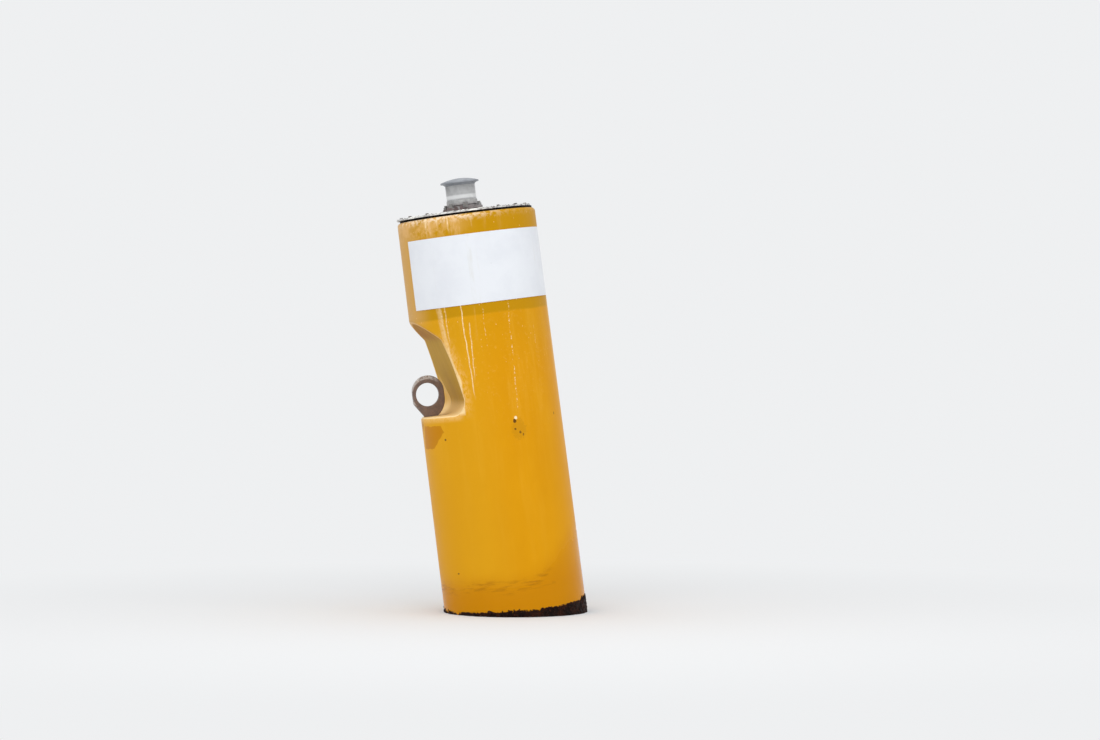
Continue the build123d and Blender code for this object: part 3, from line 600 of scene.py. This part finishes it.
all_points = {"Geometry": scattered["Points"], "Selection": outside}
stayed = fed_node("GeometryNodeDeleteGeometry", all_points)
ball_inputs = {"Segments": 6, "Rings": 4, "Radius": 1.0}
ball = add_node(settlers, "GeometryNodeMeshUVSphere", ball_inputs).outputs[0]
flattened = {"Geometry": ball, "Scale": (1.0, 0.55, 0.5)}
mussel = fed_node("GeometryNodeTransform", flattened).outputs[0]
cone_inputs = {"Vertices": 7, "Radius Top": 0.42, "Radius Bottom": 1.0, "Depth": 1.0}
cone = add_node(settlers, "GeometryNodeMeshCone", cone_inputs).outputs[0]
shapes = {"Switch": given["Cones"], "False": mussel, "True": cone}
either = fed_node("GeometryNodeSwitch", shapes, input_type="GEOMETRY").outputs[0]
size = chance(given["Least Size"], given["Greatest Size"], given["Seed"])
rotation = scattered["Rotation"]
upright = {"Points": stayed.outputs[0], "Instance": either, "Rotation": rotation, "Scale": size}
standing = fed_node("GeometryNodeInstanceOnPoints", upright).outputs[0]
FULL_TURN = 6.28
TILT = 0.25
least_spin, greatest_spin = (-TILT, -TILT, 0.0), (TILT, TILT, FULL_TURN)
spin = chance(least_spin, greatest_spin, given["Seed"], "FLOAT_VECTOR")
turning = {"Instances": standing, "Rotation": spin, "Local Space": True}
turned = fed_node("GeometryNodeRotateInstances", turning).outputs[0]
painted(made, turned, given["Shell"])


def shells_on(name, node, *values):
    """Shells on one CAD node. The values follow the group's inputs, from its second one on."""
    labels = [s.name for s in settlers.interface.items_tree if s.in_out == "INPUT"]
    return grown(name, settlers, dict(zip(labels, (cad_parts[node], *values))))


# each kind: lowest place, height above the growth line, how many to a square metre, least and greatest
# size, cones or mussels, seed and shell
SETTLED = [
    ("mussels", -0.12, 0.002, 7500.0, 0.004, 0.0095, False, 3, mussel_shell),
    ("barnacles", -1.9, -0.12, 420.0, 0.003, 0.008, True, 8, barnacle_shell),
]
for name, *values in SETTLED:
    shells = shells_on(name, "hull", *values)
    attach(shells, "hull")


# Sign panels. Two sheets of white vinyl on a thin backing, wrapped round the hull and glued on, and
# left blank. Rain has drawn faint grey lines down them.
VINYL_WHITE = srgb(226, 229, 234)
VINYL_SHADE = srgb(215, 218, 225)
VINYL_LINE = srgb(206, 204, 196)
VINYL_SPECK = srgb(150, 146, 150)
sign_sheet, shader, place = start_finish("sign sheet", 0.38, specular=0.3)
clouds = ramp(noise(place, 6, 4, 0.6), 0.4, 0.7, 0.0, 0.5)
colour = blend(clouds, VINYL_WHITE, VINYL_SHADE)
lines = place_group(runs, {"Place": place, "Lines": 24.0, "Amount": 0.6})["Mask"]
colour = blend(times(lines, 0.3), colour, VINYL_LINE)
specks = spots(place, 36, 0.08, 0.12)
colour = blend(times(specks, 0.5), colour, VINYL_SPECK)
feed(shader, "Base Color", colour)
relief(shader, noise(place, 5, 2), 0.002, 0.3)
dress(sign_sheet, "sign_white", "sign_front", "sign_back")


# Lifting eye. A thick steel plate with a large round eye, on a tang that is set deep in the hull. Its
# zinc has gone, and it is grey-brown with rust, but worn bright on the upper-left edge where slings
# have rubbed, with a painted highlight on that edge as well.
EYE_CENTRE = (-0.3213, 1.187)
EYE_RADIUS = 0.083
RUST_BROWN = srgb(92, 70, 60)
RUST_RED = srgb(126, 96, 78)
RUST_PIT = srgb(70, 46, 36)
OLD_ZINC = srgb(124, 110, 104)
BARE_AND_LIT_STEEL = srgb(196, 190, 186)
rust, given, made = new_group(
    "rust",
    "ShaderNodeTree",
    [("Place", "NodeSocketVector", None), ("Grain", "NodeSocketFloat", 60.0)],
    [("Color", "NodeSocketColor"), ("Height", "NodeSocketFloat"), ("Patch", "NodeSocketFloat")],
)
cloud = noise(given["Place"], given["Grain"], 5, 0.65)
pits = noise(given["Place"], calc("MULTIPLY", given["Grain"], 5.0), 4, 0.7)
tint = blend(ramp(cloud, 0.36, 0.64), RUST_BROWN, RUST_RED)
tint = blend(ramp(pits, 0.52, 0.68, 0.0, 0.7), tint, RUST_PIT)
feed(made, "Color", tint)
feed(made, "Height", calc("MULTIPLY_ADD", pits, 0.5, cloud))
feed(made, "Patch", ramp(cloud, 0.45, 0.6))


def rusted(place, grain, share, metal):
    """The colour of a metal with rust on this share of it, and the height of the rust."""
    flakes = place_group(rust, {"Place": place, "Grain": grain})
    return blend(times(flakes["Patch"], share), metal, flakes["Color"]), flakes["Height"]


eye_iron, shader, place = start_finish("rusted eye", 0.55, metallic=0.2)
flakes = place_group(rust, {"Place": place, "Grain": 34.0})
x, y, z = split(place)
side = calc("SUBTRACT", x, EYE_CENTRE[0])
up = calc("SUBTRACT", z, EYE_CENTRE[1])
from_centre = diagonal(side, up)
outer = ramp(from_centre, EYE_RADIUS - 0.006, EYE_RADIUS + 0.001)
upper_left = ramp(calc("SUBTRACT", up, side), -0.03, 0.06)
# wear and a painted highlight on the eye's upper-left outer edge
rubbed_and_lit = times(outer, upper_left, ramp(noise(place, 70, 3), 0.3, 0.55))
colour = blend(0.45, flakes["Color"], OLD_ZINC)
colour = blend(times(rubbed_and_lit, 0.85), colour, BARE_AND_LIT_STEEL)
feed(shader, "Base Color", colour)
relief(shader, flakes["Height"], 0.002, 0.7)
dress(eye_iron, "rusted_eye", "lifting_eye")


# Gasket and lens seal. A flat ring of black rubber below the cover, and a thin one below the lantern's
# frame, both laid in loose and squeezed by what closes over them.
RUBBER_BLACK = srgb(7, 5, 6)
RUBBER_GREY = srgb(22, 18, 18)
gasket_rubber, shader, place = start_finish("gasket rubber", 0.8, specular=0.12)
feed(shader, "Base Color", blend(noise(place, 40), RUBBER_BLACK, RUBBER_GREY))
relief(shader, noise(place, 90), 0.001, 0.5)
dress(gasket_rubber, "black_rubber", "cover_gasket", "lens_seal")


# Cover. A round aluminium plate over the hull's filling hole, bolted down through the gasket. It is
# chalky, white with droppings, and stained dark along its edge.
COVER_GREY = srgb(202, 202, 200)
COVER_WHITE = srgb(226, 226, 223)
COVER_FILM = srgb(150, 143, 136)
COVER_STAIN = srgb(92, 82, 84)
cover_low, cover_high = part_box("top_cover")
cover_plate, shader, place = start_finish("cover plate", 0.6, metallic=0.15)
x, y, z = split(place)
from_axis = diagonal(x, y)
broad = noise(place, 14, 5, 0.65)
fine = noise(place, 70, 5, 0.7)
colour = blend(ramp(broad, 0.4, 0.6), COVER_GREY, COVER_WHITE)
film = noise(place, 6, 6, 0.75)
colour = blend(ramp(film, 0.44, 0.66, 0.0, 0.65), colour, COVER_FILM)
stained = times(ramp(fine, 0.46, 0.58), ramp(from_axis, 0.2, 0.34, 0.3, 1.0))
stained = times(stained, ramp(x, -0.2, 0.3, 0.6, 1.0), 0.85)
colour = blend(stained, colour, COVER_STAIN)

# droppings dry as ragged white splats with a darker middle
SMALL_SPLAT = srgb(246, 245, 240)
LARGE_SPLAT = srgb(250, 249, 244)
SPLAT_MIDDLE = srgb(142, 136, 112)
wobble = fed_node("ShaderNodeTexNoise", {"Vector": place, "Scale": 30.0, "Detail": 4.0})
smear_inputs = {0: wobble.outputs["Color"], 1: (0.04, 0.04, 0.04), 2: place}
smeared = fed_node("ShaderNodeVectorMath", smear_inputs, operation="MULTIPLY_ADD").outputs[0]
small_splats = times(spots(smeared, 50, 0.36, 0.4), 0.85)
colour = blend(small_splats, colour, SMALL_SPLAT)
large_splats = times(spots(smeared, 15, 0.42, 0.6), 0.95)
colour = blend(large_splats, colour, LARGE_SPLAT)
dark_middles = times(spots(smeared, 15, 0.2, 0.6), 0.7)
colour = blend(dark_middles, colour, SPLAT_MIDDLE)
feed(shader, "Base Color", colour)
relief(shader, fine, 0.002, 0.7)
dress(cover_plate, "cover_plate", "top_cover")


# Cover bolts. Sixteen stainless hexagon screws with washers, round the cover's rim and tightened down
# through the gasket. They have gone dull, and rust has run on to them in places.
BOLT_GREY = srgb(112, 110, 110)
dull_bolt, shader, place = start_finish("dull bolt", 0.5, metallic=0.6)
colour, flakes = rusted(place, 90.0, 0.55, BOLT_GREY)
feed(shader, "Base Color", colour)
relief(shader, flakes, 0.0006, 0.6)


def moved_by(geometry, offset):
    """Geometry moved as a whole."""
    inputs = {"Geometry": geometry, "Translation": offset}
    return fed_node("GeometryNodeTransform", inputs).outputs[0]


bolt_ring, given, made = new_group(
    "ring of bolts",
    "GeometryNodeTree",
    [
        ("Count", "NodeSocketInt", 16),
        ("Circle Radius", "NodeSocketFloat", 0.33),
        ("Head Radius", "NodeSocketFloat", 0.01),
        ("Head Height", "NodeSocketFloat", 0.008),
        ("Washer Height", "NodeSocketFloat", 0.002),
        ("Centre", "NodeSocketVector", None),
        ("Seed", "NodeSocketInt", 5),
        ("Steel", "NodeSocketMaterial", None),
    ],
    [("Geometry", "NodeSocketGeometry")],
)
circle_inputs = {"Vertices": given["Count"], "Radius": given["Circle Radius"]}
circle = fed_node("GeometryNodeMeshCircle", circle_inputs).outputs[0]
head_inputs = {"Vertices": 6, "Radius": given["Head Radius"], "Depth": given["Head Height"]}
head = fed_node("GeometryNodeMeshCylinder", head_inputs).outputs[0]
washer_radius = calc("MULTIPLY", given["Head Radius"], 1.35)
washer_inputs = {"Vertices": 20, "Radius": washer_radius, "Depth": given["Washer Height"]}
washer = fed_node("GeometryNodeMeshCylinder", washer_inputs).outputs[0]
half_washer = calc("MULTIPLY", given["Washer Height"], 0.5)
head_middle = calc("MULTIPLY_ADD", given["Head Height"], 0.5, given["Washer Height"])
bolt = add_node(bolt_ring, "GeometryNodeJoinGeometry")
for shape, lift in ((head, head_middle), (washer, half_washer)):
    offset = fed_node("ShaderNodeCombineXYZ", {2: lift}).outputs[0]
    feed(bolt, 0, moved_by(shape, offset))
SIXTH_TURN = 1.05
turn = chance((0.0, 0.0, 0.0), (0.0, 0.0, SIXTH_TURN), given["Seed"], "FLOAT_VECTOR")
ringed = {"Points": circle, "Instance": bolt.outputs[0], "Rotation": turn}
bolts = fed_node("GeometryNodeInstanceOnPoints", ringed).outputs[0]
painted(made, moved_by(bolts, given["Centre"]), given["Steel"])
cover_centre = ((cover_high.x + cover_low.x) / 2, (cover_high.y + cover_low.y) / 2, cover_high.z)
cover_radius = (cover_high.x - cover_low.x) / 2
cover_bolts = grown(
    "cover_bolts",
    bolt_ring,
    {
        "Count": 16,
        "Circle Radius": cover_radius - 0.021,
        "Head Radius": 0.0085,
        "Head Height": 0.0055,
        "Washer Height": 0.0016,
        "Centre": cover_centre,
        "Seed": 5,
        "Steel": dull_bolt,
    },
)
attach(cover_bolts, "hull")


# Droppings and grit on the cover. Dried lumps that lie on the plate and pile up along its rim. Most are
# white, and towards the +X side more of them are dark brown.
LUMP_WHITE = srgb(250, 249, 244)
LUMP_GREY = srgb(206, 202, 192)
dried_white, shader, place = start_finish("dried white lumps", 0.8)
tone = noise(place, 60, 3)
feed(shader, "Base Color", blend(tone, LUMP_WHITE, LUMP_GREY))

GRIT_BROWN = srgb(48, 30, 34)
GRIT_GREY = srgb(104, 94, 92)
dried_dark, shader, place = start_finish("dried dark lumps", 0.75)
tone = noise(place, 60, 3)
feed(shader, "Base Color", blend(tone, GRIT_BROWN, GRIT_GREY))

litter, given, made = new_group(
    "lumps on the cover",
    "GeometryNodeTree",
    [
        ("Count", "NodeSocketInt", 300),
        ("Inner Radius", "NodeSocketFloat", 0.22),
        ("Outer Radius", "NodeSocketFloat", 0.345),
        ("Least Size", "NodeSocketFloat", 0.002),
        ("Greatest Size", "NodeSocketFloat", 0.006),
        ("Lean To Side", "NodeSocketFloat", 0.0),
        ("Centre", "NodeSocketVector", None),
        ("Seed", "NodeSocketInt", 1),
        ("Stuff", "NodeSocketMaterial", None),
    ],
    [("Geometry", "NodeSocketGeometry")],
)
points = fed_node("GeometryNodePoints", {"Count": given["Count"]}).outputs[0]
CIRCLE = 6.2832
angle = chance(0.0, CIRCLE, given["Seed"])
reach = chance(0.0, 1.0, calc("ADD", given["Seed"], 11.0))
width = calc("SUBTRACT", given["Outer Radius"], given["Inner Radius"])
radius = calc("MULTIPLY_ADD", calc("POWER", reach, 0.35), width, given["Inner Radius"])
spot_x = calc("MULTIPLY", calc("COSINE", angle), radius)
spot_y = calc("MULTIPLY", calc("SINE", angle), radius)
spot = fed_node("ShaderNodeCombineXYZ", {0: spot_x, 1: spot_y}).outputs[0]
laid = fed_node("GeometryNodeSetPosition", {"Geometry": points, "Position": spot}).outputs[0]
to_side = calc("DIVIDE", spot_x, radius)
leaning = calc("MULTIPLY_ADD", to_side, given["Lean To Side"], 1.0)
drawn = chance(0.0, 1.0, calc("ADD", given["Seed"], 23.0))
gone = calc("GREATER_THAN", drawn, leaning)
remaining = fed_node("GeometryNodeDeleteGeometry", {"Geometry": laid, "Selection": gone})
ball_inputs = {"Segments": 7, "Rings": 4, "Radius": 1.0}
ball = add_node(litter, "GeometryNodeMeshUVSphere", ball_inputs).outputs[0]
least_sides = {axis: given["Least Size"] for axis in range(3)}
smallest = fed_node("ShaderNodeCombineXYZ", least_sides).outputs[0]
shares = enumerate((1.4, 1.0, 0.6))
greatest_sides = {axis: calc("MULTIPLY", given["Greatest Size"], share) for axis, share in shares}
largest = fed_node("ShaderNodeCombineXYZ", greatest_sides).outputs[0]
size_seed = calc("ADD", given["Seed"], 31.0)
greatest_turn = (0.2, 0.2, FULL_TURN)
turn = chance((0.0, 0.0, 0.0), greatest_turn, given["Seed"], "FLOAT_VECTOR")
size = chance(smallest, largest, size_seed, "FLOAT_VECTOR")
strewn = {"Points": remaining.outputs[0], "Instance": ball, "Rotation": turn, "Scale": size}
lumps = fed_node("GeometryNodeInstanceOnPoints", strewn).outputs[0]
painted(made, moved_by(lumps, given["Centre"]), given["Stuff"])

# each kind: how many, least and greatest size, lean to the +X side, seed and stuff
LUMPS = [
    ("white_lumps", 620, 0.0015, 0.006, -0.4, 4, dried_white),
    ("dark_lumps", 420, 0.0015, 0.0055, 0.9, 9, dried_dark),
]
for name, count, least, greatest, lean, seed, stuff in LUMPS:
    lumps = grown(
        name,
        litter,
        {
            "Count": count,
            "Inner Radius": 0.12,
            "Outer Radius": cover_radius - 0.004,
            "Least Size": least,
            "Greatest Size": greatest,
            "Lean To Side": lean,
            "Centre": cover_centre,
            "Seed": seed,
            "Stuff": stuff,
        },
    )
    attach(lumps, "hull")


# Lantern base and frame. The foot of a small marine light, and the ring that its lens is glued in,
# both moulded in grey plastic and hinged together. Dirt has settled on the foot.
MOULDING_GREY = srgb(150, 150, 151)
MOULDING_PALE = srgb(176, 176, 175)
FOOT_DIRT = srgb(98, 80, 78)
lantern_grey, shader, place = start_finish("lantern moulding", 0.55, specular=0.3)
dirt = noise(place, 30, 5, 0.65)
x, y, z = split(place)
low_down = ramp(z, HULL_TOP + 0.072, HULL_TOP + 0.044)
sheltered = ramp(x, 0.05, -0.04, 0.55, 1.0)
dirty = times(ramp(dirt, 0.26, 0.44), low_down, sheltered, 0.9)
colour = blend(ramp(dirt, 0.35, 0.65), MOULDING_GREY, MOULDING_PALE)
colour = blend(dirty, colour, FOOT_DIRT)
feed(shader, "Base Color", colour)
relief(shader, dirt, 0.001, 0.5)
dress(lantern_grey, "lantern_body", "lantern_base", "lens_frame")


# Studs, hinge pin and latch. Stainless: four levelling studs with nuts above and below the base's
# ears, the pin that the lantern opens on, and the block with a knob that holds it shut.
STUD_GREY = srgb(132, 133, 132)
stud_metal, shader, place = start_finish("lantern steel", 0.42, metallic=0.7)
colour, flakes = rusted(place, 110.0, 0.3, STUD_GREY)
feed(shader, "Base Color", colour)
relief(shader, flakes, 0.0005, 0.5)
dress(stud_metal, "stud_steel", "lantern_studs", "hinge_pin", "lantern_latch")


# Lens. A drum of clear acrylic with prism rings above and below a plain bright belt. Sun and salt
# have clouded it, so that the lamp behind it hardly shows.
lens_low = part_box("lens")[0]
BELT_LOW = lens_low.z + 0.013
BELT_HIGH = lens_low.z + 0.033
HAZE_GREY = srgb(186, 187, 188)
HAZE_PALE = srgb(204, 205, 206)
BELT_HIGHLIGHT = srgb(250, 251, 252)
clear = {"Transmission Weight": 0.3, "IOR": 1.3}
lens_acrylic, shader, place = start_finish("clouded acrylic", 0.3, **clear)
haze = noise(stretch(place, 1, 1, 0.5), 26, 4, 0.6)
colour = blend(ramp(haze, 0.35, 0.65), HAZE_GREY, HAZE_PALE)
belt = between(split(place)[2], BELT_LOW, BELT_HIGH, 0.005)
# painted highlight: the belt is near white for the light that comes through it
colour = blend(times(belt, 0.95), colour, BELT_HIGHLIGHT)
feed(shader, "Base Color", colour)
relief(shader, haze, 0.001, 0.3)
dress(lens_acrylic, "lens_clear", "lens")


# Cap. A flared lid of grey plastic over the lens, with a low dome that sheds rain. It is glued to the
# lens's top edge and carries the flasher below it.
CAP_GREY = srgb(130, 134, 141)
CAP_PALE = srgb(152, 156, 162)
CAP_SPECK = srgb(112, 110, 112)
cap_grey, shader, place = start_finish("cap plastic", 0.45, specular=0.3)
dust = noise(place, 26, 5, 0.65)
colour = blend(ramp(dust, 0.34, 0.66), CAP_GREY, CAP_PALE)
colour = blend(times(spots(place, 120, 0.2, 0.1), 0.6), colour, CAP_SPECK)
feed(shader, "Base Color", colour)
relief(shader, dust, 0.001, 0.3)
dress(cap_grey, "lantern_cap", "lens_cap")


# Flasher. A round can of dark plastic that times the light. It is screwed up under the cap, and shows
# only as a shade through the clouded lens.
CAN_GREY = srgb(112, 114, 116)
CAN_PALE = srgb(140, 142, 143)
can_plastic, shader, place = start_finish("flasher can", 0.5)
tone = noise(place, 35, 4)
feed(shader, "Base Color", blend(tone, CAN_GREY, CAN_PALE))
dress(can_plastic, "dark_plastic", "flasher_can")


# Lamp. A moulded post and head of pale plastic, fixed on the lantern's foot. It holds the light source
# level with the lens's bright belt.
LAMP_GREY = srgb(138, 142, 134)
LAMP_PALE = srgb(168, 170, 160)
lamp_post, shader, place = start_finish("lamp post", 0.45)
tone = noise(place, 35, 4)
feed(shader, "Base Color", blend(tone, LAMP_GREY, LAMP_PALE))
dress(lamp_post, "lamp_plastic", "lamp_unit")


# Foot flange, ballast discs and keel plate. A steel flange on the hull's foot, four cast-iron discs and
# a thick plate, stacked and clamped. All were tarred, have rusted through the tar, and carry slime.
TAR = srgb(48, 40, 37)
iron, shader, place = start_finish("tarred iron", 0.6, metallic=0.25)
flakes = place_group(rust, {"Place": place, "Grain": 22.0})
colour = blend(flakes["Patch"], TAR, flakes["Color"])
slimy = place_group(growth, {"Place": place, "Thins Below": -9.0})
film = ramp(noise(stretch(place, 1, 1, 0.5), 12, 6, 0.75), 0.38, 0.68, 0.0, 0.75)
feed(shader, "Base Color", blend(film, colour, slimy["Color"]))
relief(shader, flakes["Height"], 0.004, 0.8)
discs = sorted(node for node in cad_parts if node.startswith("ballast_disc"))
dress(iron, "keel_steel", "foot_flange", "keel_plate")
dress(iron, "ballast_iron", *discs)
for seed, node in enumerate(["foot_flange", *discs, "keel_plate"], 12):
    values = (-3.0, -1.0, 360.0, 0.003, 0.008, True, seed, barnacle_shell)
    shells = shells_on("barnacles_on_" + node, node, *values)
    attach(shells, "hull")


# Tie rods. Four long threaded steel rods with a nut at each end, which clamp the flange, the discs and
# the keel plate into one stack. They are brown with rust from end to end.
ROD_GREY = srgb(74, 70, 68)
rod_steel, shader, place = start_finish("rod steel", 0.55, metallic=0.5)
colour, flakes = rusted(place, 45.0, 0.85, ROD_GREY)
feed(shader, "Base Color", colour)
relief(shader, flakes, 0.0015, 0.8)
dress(rod_steel, "rod_steel", "tie_rods")


# Mooring lug. A thick plate with an eye and two gussets, welded below the keel plate with beads that
# show every ripple.
dress(rod_steel, "keel_steel", "mooring_lug")
weld, given, made = new_group(
    "weld bead",
    "GeometryNodeTree",
    [
        ("Geometry", "NodeSocketGeometry", None),
        ("Pitch", "NodeSocketFloat", 0.0045),
        ("Bead Radius", "NodeSocketFloat", 0.006),
        ("Metal", "NodeSocketMaterial", None),
    ],
    [("Geometry", "NodeSocketGeometry")],
)
seam = fed_node("GeometryNodeMeshToCurve", {"Mesh": given["Geometry"]}).outputs[0]
step_inputs = {"Curve": seam, "Length": given["Pitch"]}
dots = fed_node("GeometryNodeResampleCurve", step_inputs, mode="LENGTH").outputs[0]
drop_inputs = {"Segments": 8, "Rings": 5, "Radius": given["Bead Radius"]}
drop = add_node(weld, "GeometryNodeMeshUVSphere", drop_inputs).outputs[0]
drops = fed_node("GeometryNodeInstanceOnPoints", {"Points": dots, "Instance": drop}).outputs[0]
painted(made, drops, given["Metal"])

PLATE_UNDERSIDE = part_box("keel_plate")[0].z
LUG_HALF_WIDTH = 0.115
LUG_HALF_THICKNESS = 0.02
GUSSET_HALF_THICKNESS = 0.008
GUSSET_END = 0.09
GUSSET_FOOT = PLATE_UNDERSIDE - 0.044
seam_points = []
seam_edges = []


def add_seam(*corners):
    """One more run of weld through these points."""
    first = len(seam_points)
    seam_points.extend(corners)
    seam_edges.extend((first + i, first + i + 1) for i in range(len(corners) - 1))


for end in (-1, 1):
    x = end * LUG_HALF_WIDTH
    add_seam((x, -LUG_HALF_THICKNESS, PLATE_UNDERSIDE), (x, LUG_HALF_THICKNESS, PLATE_UNDERSIDE))
    edge = end * GUSSET_HALF_THICKNESS
    for side in (-1, 1):
        y = side * LUG_HALF_THICKNESS
        add_seam((x, y, PLATE_UNDERSIDE), (edge, y, PLATE_UNDERSIDE), (edge, y, GUSSET_FOOT))
        add_seam((edge, y, PLATE_UNDERSIDE), (edge, side * GUSSET_END, PLATE_UNDERSIDE))
lug_welds = grown(
    "lug_welds",
    weld,
    {"Pitch": 0.0045, "Bead Radius": 0.0055, "Metal": rod_steel},
    path=(seam_points, seam_edges),
)
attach(lug_welds, "hull")


# Mooring shackle. A forged steel bow with a headed pin and a nut, galvanised all over. The zinc has
# worn off at the crown, where the load hangs.
SHACKLE_CROWN = -2.481
ZINC_GREY = srgb(104, 102, 100)
WORN_STEEL = srgb(160, 156, 150)
shackle_steel, shader, place = start_finish("shackle steel", 0.5, metallic=0.5)
colour, flakes = rusted(place, 40.0, 0.8, ZINC_GREY)
worn = ramp(split(place)[2], SHACKLE_CROWN + 0.051, SHACKLE_CROWN + 0.031)
worn = times(worn, ramp(noise(place, 60), 0.4, 0.6), 0.7)
colour = blend(worn, colour, WORN_STEEL)
feed(shader, "Base Color", colour)
relief(shader, flakes, 0.0015, 0.8)
dress(shackle_steel, "shackle_steel", "shackle_bow", "shackle_pin", "shackle_nut")


# Studio. A plain pale floor lies at the waterline. The buoy leans, so the floor is tilted to the hull,
# and it turns into the pale backdrop further out. Light is soft, and comes mostly from above.
FLOOR_NORMAL = Vector((0.13084, 0.01607, 0.99127)).normalized()
BACKDROP = (0.86, 0.87, 0.88, 1.0)
FLOOR_GREY = (0.74, 0.75, 0.76, 1.0)
WHITE = (1.0, 1.0, 1.0, 1.0)
FLOOR_REACH = 60.0
FLOOR_FADE = (0.8, 4.5)  # the floor turns into the backdrop between these distances
floor_side = FLOOR_NORMAL.orthogonal().normalized()
floor_back = FLOOR_NORMAL.cross(floor_side)
turns = ((1, 1), (-1, 1), (-1, -1), (1, -1))
corners = [(floor_side * a + floor_back * b) * FLOOR_REACH for a, b in turns]
floor_mesh = bpy.data.meshes.new("floor")
floor_mesh.from_pydata(corners, [], [(0, 1, 2, 3)])
floor = bpy.data.objects.new("floor", floor_mesh)
bpy.context.collection.objects.link(floor)
floor_paint = bpy.data.materials.new("pale floor")
floor_paint.use_nodes = True
tree = floor_paint.node_tree
tree.nodes.clear()
place = add_node(tree, "ShaderNodeTexCoord").outputs["Object"]
out = fed_node("ShaderNodeVectorMath", {0: place}, operation="LENGTH").outputs["Value"]
matt = add_node(tree, "ShaderNodeBsdfDiffuse", {"Color": FLOOR_GREY}).outputs[0]
glow = add_node(tree, "ShaderNodeEmission", {"Color": BACKDROP, "Strength": 1.0}).outputs[0]
faded_out = ramp(out, *FLOOR_FADE)
mixed = fed_node("ShaderNodeMixShader", {0: faded_out, 1: matt, 2: glow}).outputs[0]
fed_node("ShaderNodeOutputMaterial", {"Surface": mixed})
floor_mesh.materials.append(floor_paint)

world = bpy.data.worlds.new("studio")
bpy.context.scene.world = world
world.use_nodes = True
tree = world.node_tree
tree.nodes.clear()
upward = split(add_node(tree, "ShaderNodeTexCoord").outputs["Generated"])[2]
sky = ramp(upward, -0.3, 0.8, 0.55, 1.0)
soft = add_node(tree, "ShaderNodeBackground", {"Color": WHITE, "Strength": sky}).outputs[0]
pale = add_node(tree, "ShaderNodeBackground", {"Color": BACKDROP, "Strength": 1.0}).outputs[0]
ray = add_node(tree, "ShaderNodeLightPath").outputs
mirrored = calc("MAXIMUM", ray["Is Glossy Ray"], ray["Is Transmission Ray"])
seen = calc("MAXIMUM", ray["Is Camera Ray"], mirrored)
shown = fed_node("ShaderNodeMixShader", {0: seen, 1: soft, 2: pale}).outputs[0]
fed_node("ShaderNodeOutputWorld", {"Surface": shown})

# each lamp: where it hangs, its width and its power
LAMPS = {
    "overhead": ((-1.0, -4.5, 6.5), 5.0, 170.0),
    "right": ((5.5, -5.0, 3.5), 3.0, 45.0),
}
LAMP_AIM = Vector((0.0, 0.0, 1.2))
for name, (spot, width, power) in LAMPS.items():
    lamp = bpy.data.lights.new(name, "AREA")
    lamp.size = width
    lamp.energy = power
    holder = bpy.data.objects.new(name, lamp)
    aim = (LAMP_AIM - Vector(spot)).to_track_quat("-Z", "Y").to_matrix().to_4x4()
    holder.matrix_world = Matrix.Translation(spot) @ aim
    bpy.context.collection.objects.link(holder)


# Camera. It stands 13 m off and a metre above the floor. Its axes are given in the hull's own frame,
# so the hull leans in the picture and the floor lies level.
CAMERA_PLACE = Vector((-2.4894, -12.8067, 1.6261))
CAMERA_RIGHT = Vector((0.96803, -0.21791, -0.12424)).normalized()
CAMERA_UP = Vector((0.12783, 0.00241, 0.99179))
SENSOR_WIDTH = 36.0
LENS_LENGTH = 81.82
view_camera = bpy.data.cameras.new("camera")
view_camera.sensor_width = SENSOR_WIDTH
view_camera.lens = LENS_LENGTH
camera = bpy.data.objects.new("camera", view_camera)
camera_back = CAMERA_RIGHT.cross(CAMERA_UP).normalized()
axes = Matrix((CAMERA_RIGHT, camera_back.cross(CAMERA_RIGHT), camera_back)).transposed().to_4x4()
camera.matrix_world = Matrix.Translation(CAMERA_PLACE) @ axes
bpy.context.collection.objects.link(camera)
bpy.context.scene.camera = camera
bpy.context.scene.view_settings.view_transform = "Standard"
